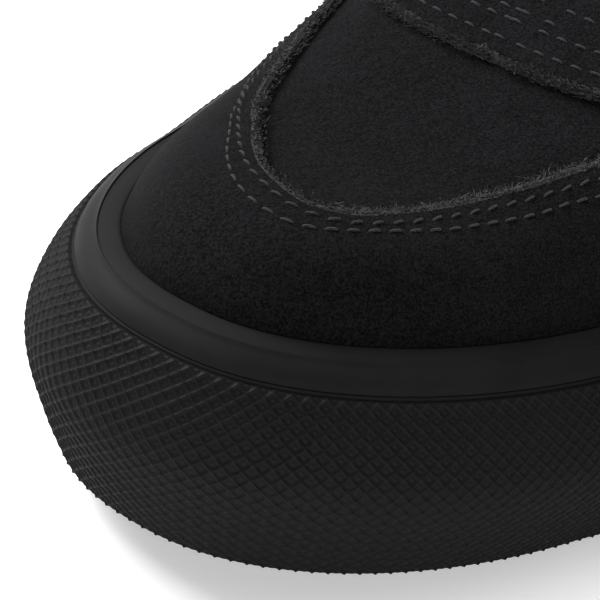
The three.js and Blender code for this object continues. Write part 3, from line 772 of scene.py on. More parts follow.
@dataclass(frozen=True)
class Textile:
    """Woven or knitted polyester: crossing threads of a real spacing, matt with a little sheen."""

    name: str
    base: str = "161617"
    # Colour of the higher threads: a painted highlight.
    raised: str = "2c2c2e"
    thread_mm: float = 0.6
    bump: float = 0.6
    fuzz_mm: float = 0.35

    def build(self) -> bpy.types.Material:
        """Makes the material from two crossing sets of threads and some fuzz, with the higher threads painted
        lighter and the gaps darker: painted highlight and shade.
        """
        material, tree, surface = new_material(self.name)
        place = node(tree, "TexCoord").outputs["Object"]
        fuzz = node(tree, "TexNoise", {"Vector": place, "Scale": 1 / (self.fuzz_mm * MM), "Detail": 3.0})
        turned = node(tree, "Mapping", {"Vector": place, "Rotation": (0.0, 0.0, math.radians(45))}).outputs[0]
        scale = 1 / (self.thread_mm * MM * 2 * math.pi) * math.pi
        threads = [node(tree, "TexWave", {"Vector": turned, "Scale": scale, "Distortion": 0.2},
                        bands_direction=way).outputs["Fac"] for way in ("X", "Y")]
        weave = node(tree, "Math", {0: threads[0], 1: threads[1]}, operation="MAXIMUM")
        height = node(tree, "Math", {0: fuzz.outputs["Fac"], 1: 0.5, 2: weave.outputs[0]},
                      operation="MULTIPLY_ADD")
        # Colour follows the height: higher threads get a painted highlight, the gaps painted shade, and the
        # fuzz adds tone at random.
        colour = ramp(tree, height.outputs[0], ((0.5, self.base), (1.0, self.raised)))
        tree.links.new(colour.outputs[0], surface.inputs["Base Color"])
        surface.inputs["Roughness"].default_value = 0.88
        surface.inputs["Specular IOR Level"].default_value = 0.12
        surface.inputs["Sheen Weight"].default_value = 0.06
        rough = node(tree, "Bump", {"Height": height.outputs[0], "Strength": self.bump,
                                    "Distance": 0.25 * MM})
        tree.links.new(rough.outputs[0], surface.inputs["Normal"])
        return material


class Finish(Enum):
    """The finishes of the real shoe's pieces."""

    SUEDE = "suede"
    SMOOTH = "smooth_rubber"
    BUMPER = "bumper_rubber"
    TREAD = "tread_rubber"
    LINING = "lining"
    TONGUE = "tongue_canvas"
    LACE = "lace"
    THREAD = "thread"
    EDGE = "edge"
    FIBRE = "fibre"


@dataclass
class Wardrobe:
    """Every finish, made once."""

    made: dict[Finish, bpy.types.Material] = field(default_factory=dict)

    def __post_init__(self) -> None:
        """Builds the materials."""
        kinds = {
            Finish.SUEDE: Suede("napped_black_suede"),
            Finish.SMOOTH: Rubber("smooth_vulcanised_rubber", "181818", "1e1e1e", 0.58, 0.5, 0.12, 0.04),
            Finish.BUMPER: Rubber("knurled_vulcanised_rubber", "111111", "161616", 0.6, 0.35, 0.2, 0.07,
                                  knurled=True),
            Finish.TREAD: Rubber("moulded_tread_rubber", "121212", "1c1c1c", 0.62, 0.6, 0.3),
            Finish.LINING: Textile("brushed_polyester_lining", "0e0e0f", "1e1e1f", 0.7),
            Finish.TONGUE: Textile("plain_weave_canvas", "0e0e0f", "202022", 0.8),
            Finish.LACE: Textile("flat_woven_lace", "0c0c0d", "1c1c1d", 0.55, 0.8),
            # The thread's colours are lighter than the suede's: a painted sheen.
            Finish.THREAD: Textile("bonded_polyester_thread", "151516", "363638", 0.3, 0.5),
            Finish.EDGE: Suede("cut_split_edge", "171617", "434242", 0.4, 2.0, 1.0, 0.08),
            Finish.FIBRE: Suede("loose_split_fibres", "2b2a2a", "4e4d4c", 0.4, 2.0, 0.3, 0.08),
        }
        for finish, recipe in kinds.items():
            self.made[finish] = recipe.build()

    def dress(self, obj: bpy.types.Object, finish: Finish, slot: str, nodes: tuple[str, ...] = ()) -> None:
        """Gives a piece its finish and its place on the shoe.

        Args:
            obj: The piece.
            finish: What it is made of.
            slot: The record's material slot; it is not used.
            nodes: The CAD nodes that it stands for.
        """
        obj.data.materials.clear()
        obj.data.materials.append(self.made[finish])
        if nodes:
            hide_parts(*nodes)
        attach(obj, "root")
        log.info("%s: %d faces", obj.name, len(obj.data.polygons))


@dataclass
class RubberSole:
    """The tapes round the sole and the tread under it."""

    last: Last
    finishes: Wardrobe
    strip_thickness: float = 1.5
    bumper_height: float = 25.9
    bumper_reach: float = 100.0
    bumper_gap: float = 0.3
    bumper_least: float = 0.4
    bumper_rows: int = 112
    under_overlay: float = -1.2
    glued_levels: tuple[float, float] = (22.0, 15.0)
    step_height: float = 28.2
    lip_height: float = 28.93
    lip_side: float = -6.83
    lip_toe: float = -7.01
    lift: float = 0.5
    tape: Rows = ((0, -2.3, -2.6), (.89, -1.5, -2.0), (.94, -2.2, -2.6), (.988, -3.93, -4.48))
    bumper: Rows = ((0, -1.7), (.23, .87), (.57, 3.5), (.8, 2.2), (1, -.63))
    knurl_along: float = 2.05
    knurl_up: float = 1.93
    knurl_steps: int = 7
    knurl_relief: float = 0.33
    ridge_width: float = 0.17
    crossing_width: float = 0.24
    tip_from: float = 0.3
    columns: int = 900

    def outer(self, c: Columns, share: np.ndarray | float) -> np.ndarray:
        """Gives how far the outer tape stands out at a share of the foxing's height."""
        side, toe = table(self.tape, share, 2), table(self.tape, share, 1)
        return mix(side, toe, self.last.toe_share(c.x))

    def behind(self, c: Columns, height: np.ndarray) -> np.ndarray:
        """Gives points at stated heights on the skin under the overlays, where the foxing is glued on."""
        grow = self.under_overlay
        return self.last.skin(c, self.last.angle_at_height(c, height, grow)[:, None], grow)[:, 0]

    def foxing(self) -> None:
        """Makes the inner tape, whose rolled lip shows between the outer tape and the suede."""
        last = self.last
        c = last.at(np.linspace(0, last.path[-1], self.columns, endpoint=False))
        top = last.foxing_height + c.spring
        low = last.ground(c.x) + self.lift
        step = self.outer(c, 0.988)
        inner = self.behind(c, top)
        lip = mix(self.lip_side, self.lip_toe, last.toe_share(c.x))
        profile = [c.offset(step - 3.4, low), c.offset(self.outer(c, 0.0) - 1.8, low),
                   c.offset(self.outer(c, 0.89) - 1.8, 0.89 * last.foxing_height + c.spring),
                   c.offset(step - 0.1, self.step_height + c.spring)]
        for t in np.linspace(0, 1, 12):
            out = mix(step - 0.03, lip, t)
            bulge = 0.1 * math.sin(math.pi * t) + 0.52 * t - 0.3 * max(0.0, t - 0.86) ** 2 / 0.0196
            profile.append(c.offset(out, self.lip_height + bulge + c.spring))
        profile.append(c.offset(lip - 0.16, top - 0.5))
        profile.append(np.stack([inner[:, 0], inner[:, 1], top - 1.0], axis=-1))
        profile += [self.behind(c, level + c.spring) for level in self.glued_levels]
        obj = laid_grid("foxing_tape", last.metres(np.stack(profile, axis=1)), True, True, 42)
        self.finishes.dress(obj, Finish.SMOOTH, "smooth_rubber", ("foxing",))

    def strip(self) -> None:
        """Makes the outer smooth tape, with a fine bead where its face turns."""
        last = self.last
        c = last.at(np.linspace(0, last.path[-1], self.columns, endpoint=False))
        rows: list[np.ndarray] = []
        low = last.ground(c.x) + self.lift
        height = last.foxing_height
        for share in (0.0, 0.3, 0.6, 0.84):
            base = mix(low, c.spring, min(1.0, share / 0.3))
            rows.append(c.offset(self.outer(c, share), base + share * height))
        bead = ((0.868, 0.0), (0.8705, 0.16), (0.876, 0.28), (0.883, 0.28), (0.8885, 0.2), (0.8905, 0.02),
                (0.8915, -0.12), (0.8935, -0.12), (0.8955, 0.03))
        for share, out in bead:
            rows.append(c.offset(self.outer(c, share) + out, share * height + c.spring))
        for share in (0.9, 0.915, 0.93, 0.945, 0.96, 0.972, 0.981):
            rows.append(c.offset(self.outer(c, share), share * height + c.spring))
        for out, share in ((0.12, 0.9885), (0.03, 0.9915), (-0.08, 0.9905), (-0.12, 0.985), (-0.12, 0.962)):
            rows.append(c.offset(self.outer(c, 0.988) + out, share * height + c.spring))
        for share in (0.94, 0.89, 0.0):
            base = c.spring if share > 0 else low
            rows.append(c.offset(self.outer(c, share) - self.strip_thickness, base + share * height))
        obj = laid_grid("foxing_outer_tape", last.metres(np.stack(rows, axis=1)), True, True, 42)
        self.finishes.dress(obj, Finish.SMOOTH, "smooth_rubber", ("foxing_strip",))

    def knurl(self, along: np.ndarray, up: np.ndarray) -> np.ndarray:
        """Gives the knurl's relief: thin crossing ridges, higher where they meet, and low tips between them.

        Args:
            along: Distance round the toe.
            up: Distance up the band.

        Returns:
            Height over the band's face.
        """
        p = along / self.knurl_along + up / self.knurl_up
        q = along / self.knurl_along - up / self.knurl_up
        side = self.knurl_along * self.knurl_up / math.hypot(self.knurl_along, self.knurl_up)
        first = np.abs(p - np.round(p)) * side
        second = np.abs(q - np.round(q)) * side
        nearest = np.minimum(first, second)
        ridge = np.exp(-((nearest / self.ridge_width) ** 2))
        crossing = np.exp(-(first ** 2 + second ** 2) / self.crossing_width ** 2)
        tip = np.clip((nearest - self.tip_from) / (side / 2 - self.tip_from), 0, 1)
        return self.knurl_relief * (0.75 * ridge + 0.3 * crossing + 0.4 * tip)

    def band(self, w: Columns, share: np.ndarray, taper: np.ndarray) -> np.ndarray:
        """Gives the bumper's plain face, before the knurl.

        Args:
            w: Its columns, with a second axis.
            share: Shares of its height.
            taper: How much of its thickness each column keeps.

        Returns:
            The points of the face.
        """
        height = mix(self.last.ground(w.x) + self.lift, self.bumper_height + w.spring, share)
        back = self.outer(w, share * self.bumper_height / self.last.foxing_height) + self.bumper_gap
        thick = np.maximum(table(self.bumper, share, 1) - back, self.bumper_least) * taper
        return w.offset(back + thick, height)

    def toe_bumper(self) -> None:
        """Makes the thick knurled band round the toe."""
        last = self.last
        start = last.sole_length - self.bumper_reach
        step = self.knurl_along / self.knurl_steps
        climb_step = self.knurl_up / self.knurl_steps
        places = np.arange(last.place_of(start, True), last.place_of(start, False), step)
        c = last.at(places)
        w = c.wide()
        taper = mix(0.2, 1.0, smooth((c.x - start) / (0.45 * self.bumper_reach)))[:, None]
        low = last.ground(w.x) + self.lift
        v = np.linspace(0, 1, self.bumper_rows)[None, :]
        points = self.band(w, v, taper)
        rise = np.linalg.norm(np.diff(points, axis=1), axis=-1)
        up = np.concatenate([np.zeros((len(places), 1)), np.cumsum(rise, axis=1)], axis=1)
        rows = round(float(up[:, -1].max()) / climb_step)
        wanted = np.linspace(0, 1, rows)[None, :] * up[:, -1:]
        even = np.stack([np.interp(wanted[i], up[i], v[0]) for i in range(len(places))])
        points = self.band(w, even, taper)
        across = np.gradient(points, axis=0)
        climb = np.gradient(points, axis=1)
        normal = np.cross(across, climb)
        normal /= np.linalg.norm(normal, axis=-1, keepdims=True)
        normal *= np.sign(np.sum(normal[..., :2] * np.stack([w.nx, w.ny], axis=-1), axis=-1))[..., None]
        relief = self.knurl(np.arange(len(places))[:, None] * step, np.arange(rows)[None, :] * climb_step)
        lip = -0.12 * np.clip(1 - np.arange(rows)[::-1] * climb_step / 0.3, 0, 1) ** 2
        points = points + normal * (relief + lip[None, :] - self.knurl_relief * 0.4)[..., None]
        back_rows = [1.0, 0.57, 0.23, 0.0]
        backs = []
        for share in back_rows:
            outer = self.outer(c, share * self.bumper_height / last.foxing_height) + 0.1
            base = mix(low[:, 0], self.bumper_height + c.spring, share) - (0.1 if share == 1.0 else 0.0)
            backs.append(c.offset(outer, base))
        field_points = np.concatenate([points, np.stack(backs, axis=1)], axis=1)
        high = np.concatenate([relief, np.zeros((len(places), len(back_rows)))], axis=1)
        marks = np.full(high.shape + (3,), 0.5)
        first = np.arange(len(places))[:, None] / self.knurl_steps
        second = np.arange(rows)[None, :] / self.knurl_steps
        marks[:, :rows, 0] = first + second
        marks[:, :rows, 1] = first - second
        obj = laid_grid("knurled_toe_bumper", last.metres(field_points), False, True, 80, True, high, marks)
        self.finishes.dress(obj, Finish.BUMPER, "bumper_rubber", ("toe_bumper",))

    def build(self, nodes: dict[str, bpy.types.Object]) -> None:
        """Makes the tapes and dresses the moulded tread."""
        self.foxing()
        self.strip()
        self.toe_bumper()
        nodes["outsole"].data.materials.clear()
        nodes["outsole"].data.materials.append(self.finishes.made[Finish.TREAD])


@dataclass
class SuedeUpper:
    """The suede shell and the overlays that are stitched on it."""

    last: Last
    finishes: Wardrobe
    overlay: float = 1.2
    wall: float = 2.2
    gap: float = 0.3
    cap_nose: float = 22.3
    cap_length: float = 88.0
    cap_side: float = 0.44
    cap_back: float = 200.0
    counter_length: float = 78.0
    eyestay_front: float = 65.0
    eyestay_width: float = 16.5
    eyestay_back_width: float = 11.0
    cap_edge: Rows = ((0, -.0194, -.0194), (.017, .0143, -.0755), (.051, .041, -.1224), (.114, .0714, -.1735),
                      (.227, .1133, -.243), (.398, .1786, -.302), (.59, .26, -.352), (.795, .367, -.418),
                      (1, .52, -.55))
    counter_edge: Rows = ((1.02, .3), (.96, .45), (.8, .62), (.6, .76), (.44, .92), (.34, 1.1))
    eyelet_radius: float = 2.2
    eyelet_inset: float = 8.0
    first_eyelet: float = 87.0
    top_eyelet: float = 0.443
    pairs: int = 7
    shell_step: float = 1.25
    shell_rows: int = 58
    shell_foot: float = 20.0
    tuck: float = 0.9
    bare_reach: float = 0.5
    bare_reach_eyestay: float = 0.85
    fine_step: float = 0.3
    unevenness: float = 0.35
    edge_seed: int = 11
    eyestay_back: float = 0.41
    eyestay_round: float = 15.0
    eyestay_power: float = 3.0

    def foot_angle(self, c: Columns, grow: float, height: float) -> np.ndarray:
        """Gives the angle at which a layer reaches a height behind the foxing."""
        return self.last.angle_at_height(c, height + c.spring, grow)

    def top_angle(self, c: Columns, grow: float) -> np.ndarray:
        """Gives the angle at which the upper ends, at the collar's line or the throat's edge."""
        last = self.last
        line = np.full(len(c.x), math.pi / 2)
        back = c.x < last.collar_end
        if back.any():
            low = np.full(int(back.sum()), 0.05)
            high = np.full(int(back.sum()), math.pi / 2)
            part = Columns(*(getattr(c, name)[back] for name in c.__dataclass_fields__))
            for _ in range(26):
                middle = (low + high) / 2
                point = last.skin(part, middle[:, None], grow)[:, 0]
                over = point[:, 2] > last.top_height(point[:, 0])
                high = np.where(over, middle, high)
                low = np.where(over, low, middle)
            line[back] = high
        return np.minimum(line, last.angle_at_throat(c, grow))

    def shell(self) -> None:
        """Makes the suede shell with its lining side, open at the collar and down the throat."""
        last = self.last
        round_about = last.path[-1]
        c = last.at(np.linspace(0.0, round_about, round(round_about / self.shell_step), endpoint=False))
        outer = -self.overlay - self.gap
        foot = self.foot_angle(c, outer, self.shell_foot)
        top = np.maximum(self.top_angle(c, outer), foot + 0.02)
        v = np.linspace(0, 1, self.shell_rows)[None, :]
        face = last.skin(c, mix(foot[:, None], top[:, None], v), outer)
        obj = laid_grid("upper_shell", last.metres(face), True, False)
        self.turn_outwards(obj)
        self.finishes.dress(obj, Finish.SUEDE, "suede", ("upper",))
        obj.data.materials.append(self.finishes.made[Finish.LINING])
        apply_modifier(obj, "SOLIDIFY", thickness=self.wall * MM, offset=-1.0, material_offset=1,
                       material_offset_rim=0)
        self.punch(obj)

    def turn_outwards(self, obj: bpy.types.Object) -> None:
        """Flips an open sheet whose faces point into the shoe."""
        middle = Vector((0.0, 0.0, 0.03))
        inward = sum(1 for face in list(obj.data.polygons)[::50]
                     if face.normal.dot(face.center - Vector((face.center.x, 0.0, middle.z))) < 0)
        if inward * 2 > len(obj.data.polygons) / 50:
            obj.data.flip_normals()

    def eyelets(self) -> list[np.ndarray]:
        """Gives the eyelets' plan places, outer and inner of each pair from the front."""
        last = self.last
        found = []
        front = last.sole_length - self.first_eyelet
        back = self.top_eyelet * last.sole_length
        for i in range(self.pairs):
            x = mix(front, back, i / (self.pairs - 1))
            half = float(last.throat_half(np.array(x))) + self.eyelet_inset
            middle = float(last.spine(x))
            found += [np.array([x, middle + half]), np.array([x, middle - half])]
        return found

    def eyelet_frame(self, place: np.ndarray, grow: float) -> Matrix:
        """Gives a frame on the surface at an eyelet, its third axis pointing out."""
        last = self.last
        around = np.array([place, place + [0.5, 0], place + [0, 0.5]])
        p = last.lay(around, np.full(3, grow))
        normal = np.cross(p[1] - p[0], p[2] - p[0])
        up = Vector(normal).normalized()
        if up.z < 0:
            up = -up
        side = Vector((0, 1, 0)) - up * up.y
        side.normalize()
        fore = side.cross(up)
        return Matrix.Translation(Vector(last.metres(p[0]))) @ Matrix((fore, side, up)).transposed().to_4x4()

    def punch(self, obj: bpy.types.Object) -> None:
        """Cuts the eyelet holes through a piece."""
        pins = []
        for place in self.eyelets():
            deselect()
            bpy.ops.mesh.primitive_cylinder_add(vertices=32, radius=self.eyelet_radius * MM, depth=14 * MM)
            pin = bpy.context.object
            pin.matrix_world = self.eyelet_frame(place, -1.0)
            pins.append(pin)
        deselect()
        for pin in pins:
            pin.select_set(True)
        bpy.context.view_layer.objects.active = pins[0]
        bpy.ops.object.transform_apply(location=True, rotation=True, scale=True)
        bpy.ops.object.join()
        cutter = bpy.context.object
        apply_modifier(obj, "BOOLEAN", operation="DIFFERENCE", solver="EXACT", object=cutter)
        bpy.data.objects.remove(cutter)
        pick(obj)
        bpy.ops.object.shade_smooth_by_angle(angle=math.radians(50))

    def overlay_panel(self, name: str, c: Columns, foot: np.ndarray, edge: np.ndarray, rows: int,
                      nodes: tuple[str, ...]) -> None:
        """Makes an overlay between the foxing and its free edge, with a ragged, slightly rounded cut.

        Args:
            name: The piece's name.
            c: Its columns.
            foot: The angle at which each column starts.
            edge: The angle at which each column ends.
            rows: How finely the face is divided.
            nodes: The CAD nodes that it stands for.
        """
        last = self.last
        t = 1 - (1 - np.linspace(0, 1, rows)) ** 1.3
        face = last.skin(c, mix(foot[:, None], edge[:, None], t[None, :]), 0.0)
        length = np.linalg.norm(face[:, -1] - face[:, 0], axis=-1)
        length = np.maximum(length, 0.05)
        rim = []
        uneven = ragged(len(edge), self.fine_step, self.unevenness, self.edge_seed)
        for out, drop in ((0.2, -0.03), (0.38, -0.16), (0.46, -0.42), (0.42, -self.overlay - self.gap)):
            push = edge + (edge - foot) * np.clip((out + uneven * (1 - abs(drop) / 3)) / length, -0.3, 0.3)
            rim.append(last.skin(c, push[:, None], drop)[:, 0])
        rim.append(last.skin(c, foot[:, None], -self.overlay)[:, 0])
        points = np.concatenate([face, np.stack(rim, axis=1)], axis=1)
        obj = laid_grid(name, last.metres(points), False, True, 60, True)
        self.finishes.dress(obj, Finish.SUEDE, "suede", nodes)
        self.bare_edge(obj, last.metres(last.skin(c, edge[:, None], 0.0)[:, 0]), self.bare_reach)

    def bare_edge(self, obj: bpy.types.Object, line: np.ndarray, reach: float) -> None:
        """Gives the faces along a cut edge the raw split's finish.

        Args:
            obj: The overlay.
            line: The edge's points in metres.
            reach: How far the raw finish goes back from the edge, in millimetres.
        """
        index = len(obj.data.materials)
        obj.data.materials.append(self.finishes.made[Finish.EDGE])
        tree = kdtree.KDTree(len(line))
        for i, point in enumerate(line):
            tree.insert(point, i)
        tree.balance()
        for face in obj.data.polygons:
            if tree.find(face.center)[2] < reach * MM:
                face.material_index = index

    def cap_line(self, outside: float = 0.0, count: int = 400) -> np.ndarray:
        """Gives the cap's inner edge in plan, from the inner side round the nose to the outer side.

        Args:
            outside: How far beyond the edge the line lies, towards the toe.
            count: How many points are wanted.

        Returns:
            The line's plan points.
        """
        rows = np.array(self.cap_edge)
        nose = self.last.sole_length - self.cap_nose
        x = nose - rows[:, 0] * self.cap_length
        inner = np.stack([x, rows[:, 2] * self.last.ball_width], axis=-1)
        outer = np.stack([x, rows[:, 1] * self.last.ball_width], axis=-1)
        line = curve_through(np.concatenate([inner[:0:-1], outer]), count)
        if outside:
            run = np.gradient(line, axis=0)
            run /= np.linalg.norm(run, axis=-1, keepdims=True)
            line = line + np.stack([-run[:, 1], run[:, 0]], axis=-1) * -outside
        return line

    def toe_cap(self) -> None:
        """Makes the toe cap overlay."""
        last = self.last
        line = self.cap_line()
        wide = np.abs(line[:, 1] - last.spine(line[:, 0])) < self.cap_side * last.ball_width
        found = last.locate(line[wide & (line[:, 0] > self.cap_back)], 0.0)
        found = found[np.argsort(found[:, 0])]
        places = np.arange(found[0, 0], found[-1, 0], self.fine_step)
        c = last.at(places)
        edge = np.interp(places, found[:, 0], found[:, 1])
        foot = self.foot_angle(c, 0.0, last.foxing_height - self.tuck)
        self.overlay_panel("toe_cap_overlay", c, foot, np.maximum(edge, foot + 0.01), 72, ("toe_cap",))

    def counter(self) -> None:
        """Makes the heel counter overlay."""
        last = self.last
        reach = last.place_of(self.counter_length, True)
        back = last.place_of(self.counter_length, False) - last.path[-1]
        c = last.at(np.linspace(back, reach, 420))
        rows = np.array(self.counter_edge)
        x = (rows[:, 0] * self.counter_length)[::-1]
        z = (rows[:, 1] * last.heel_height)[::-1]
        limit = table(tuple(zip(x, z)), c.x, 1)
        limit = np.where(c.x < x[0], 200.0, limit)
        edge = np.minimum(last.angle_at_height(c, limit, 0.0), self.top_angle(c, 0.0))
        foot = self.foot_angle(c, 0.0, last.foxing_height - self.tuck)
        edge = np.maximum(edge, foot + 0.01)
        self.overlay_panel("heel_counter_overlay", c, foot, edge, 50, ("heel_counter",))

    def eyestay_half(self, x: np.ndarray) -> np.ndarray:
        """Gives half the eyestay's outer width."""
        last = self.last
        front_half = last.throat_front_width / 2 + self.eyestay_width
        back_half = last.throat_back_width / 2 + self.eyestay_back_width
        return rounded_half(x, last.sole_length - self.eyestay_front, front_half,
                            last.throat_back * last.sole_length, back_half, self.eyestay_round,
                            self.eyestay_power)

    def eyestay_line(self, inset: float, end: float = 0.43) -> np.ndarray:
        """Gives a line that runs inside the eyestay's outer edge, from the inner side round the front.

        Args:
            inset: How far inside the edge it runs.
            end: How far back it goes, as a share of the sole's length from the heel.

        Returns:
            The line's plan points.
        """
        last = self.last
        front = last.sole_length - self.eyestay_front
        x = mix(front, end * last.sole_length, 1 - np.cos(np.linspace(0, math.pi / 2, 260)))
        inner = np.stack([x, last.spine(x) - self.eyestay_half(x)], axis=-1)
        outer = np.stack([x, last.spine(x) + self.eyestay_half(x)], axis=-1)
        line = arc_spread(np.concatenate([inner[::-1], outer[1:]]), self.fine_step)
        run = np.gradient(line, axis=0)
        run /= np.linalg.norm(run, axis=-1, keepdims=True)
        return arc_spread(line + np.stack([-run[:, 1], run[:, 0]], axis=-1) * inset, self.fine_step)

    def eyestay(self, count: int = 420, rows: int = 36) -> None:
        """Makes the overlay round the throat, with its punched eyelets.

        Args:
            count: How many points each side's edges have.
            rows: How finely it is divided from the throat to its outer edge.
        """
        last = self.last
        front = last.sole_length - self.eyestay_front
        throat = last.sole_length - last.throat_front
        t = np.linspace(0, 1, 260)
        end = self.eyestay_back * last.sole_length
        edges = []
        for start, half in ((throat, last.throat_half), (front, self.eyestay_half)):
            x = mix(start, end, 1 - np.cos(t * math.pi / 2))
            sides = []
            for sign in (1.0, -1.0):
                line = arc_spread(np.stack([x, last.spine(x) + sign * half(x)], axis=-1), self.fine_step)
                wanted, known = np.linspace(0, 1, count), np.linspace(0, 1, len(line))
                sides.append(np.stack([np.interp(wanted, known, line[:, k]) for k in (0, 1)], axis=-1))
            edges.append(np.concatenate([sides[0][::-1], sides[1][1:]]))
        inner, outer = edges
        across = np.linspace(0, 1, rows)
        plan = mix(inner[:, None], outer[:, None], across[None, :, None])
        found = last.locate(plan.reshape(-1, 2), 0.0)
        c = last.at(found[:, 0])
        top = self.top_line_limit(c, found[:, 1])
        drop = np.zeros(len(across))
        drop[[0, -1]] = -0.3
        drop[[1, -2]] = -0.08
        grow = np.broadcast_to(drop[None, :], plan.shape[:2]).reshape(-1, 1)
        face = last.skin(c, top[:, None], grow)[:, 0].reshape(plan.shape[:2] + (3,))
        under = last.skin(c, top[:, None], -self.overlay - 0.15)[:, 0].reshape(plan.shape[:2] + (3,))
        points = np.concatenate([face, under[:, ::-1][:, ::5]], axis=1)
        obj = laid_grid("eyestay_overlay", last.metres(points), False, True, 60, True)
        self.finishes.dress(obj, Finish.SUEDE, "suede", ("eyestay",))
        self.punch(obj)
        edge = last.lay(self.eyestay_line(0.0, self.eyestay_back), -0.55)
        self.bare_edge(obj, last.metres(edge), self.bare_reach_eyestay)

    def top_line_limit(self, c: Columns, angle: np.ndarray) -> np.ndarray:
        """Stops angles at the collar's top line."""
        last = self.last
        out = angle.copy()
        point = last.skin(c, angle[:, None], 0.0)[:, 0]
        over = (point[:, 2] > last.top_height(point[:, 0])) & (c.x < last.collar_end)
        low = np.full(len(angle), 0.05)
        high = angle.copy()
        for _ in range(24):
            middle = (low + high) / 2
            p = last.skin(c, middle[:, None], 0.0)[:, 0]
            above = p[:, 2] > last.top_height(p[:, 0])
            high = np.where(above, middle, high)
            low = np.where(above, low, middle)
        out[over] = high[over]
        return out

    def build(self) -> None:
        """Makes the shell and its overlays."""
        self.shell()
        self.toe_cap()
        self.eyestay()
        self.counter()


def swell(obj: bpy.types.Object, pressure: float, cap: float) -> None:
    """Lets a padded piece swell as cloth under inner pressure and keeps the result.

    Args:
        obj: The closed mesh of the piece, made slightly smaller than it ends.
        pressure: The pressure inside it.
        cap: How far a point may move, in metres.
    """
    count = len(obj.data.vertices)
    start = np.empty(count * 3)
    obj.data.vertices.foreach_get("co", start)
    start = start.reshape(-1, 3)
    modifier = obj.modifiers.new("Cloth", "CLOTH")
    cloth = modifier.settings
    cloth.quality = 6
    cloth.mass = 0.2
    cloth.tension_stiffness = 12.0
    cloth.compression_stiffness = 12.0
    cloth.bending_stiffness = 0.4
    cloth.use_pressure = True
    cloth.uniform_pressure_force = pressure
    cloth.effector_weights.gravity = 0.0
    modifier.collision_settings.use_collision = False
    scene = bpy.context.scene
    for frame in range(1, 21):
        scene.frame_set(frame)
    graph = bpy.context.evaluated_depsgraph_get()
    swollen = obj.evaluated_get(graph)
    moved = np.empty(count * 3)
    swollen.data.vertices.foreach_get("co", moved)
    moved = moved.reshape(-1, 3) - start
    obj.modifiers.remove(modifier)
    scene.frame_set(1)
    size = np.linalg.norm(moved, axis=1, keepdims=True)
    log.info("%s: the cloth swelled by up to %.2f mm, %.2f mm is kept", obj.name, size.max() / MM, cap / MM)
    moved *= np.minimum(1.0, cap / np.maximum(size, 1e-9))
    obj.data.vertices.foreach_set("co", (start + moved).ravel())
    obj.data.update()


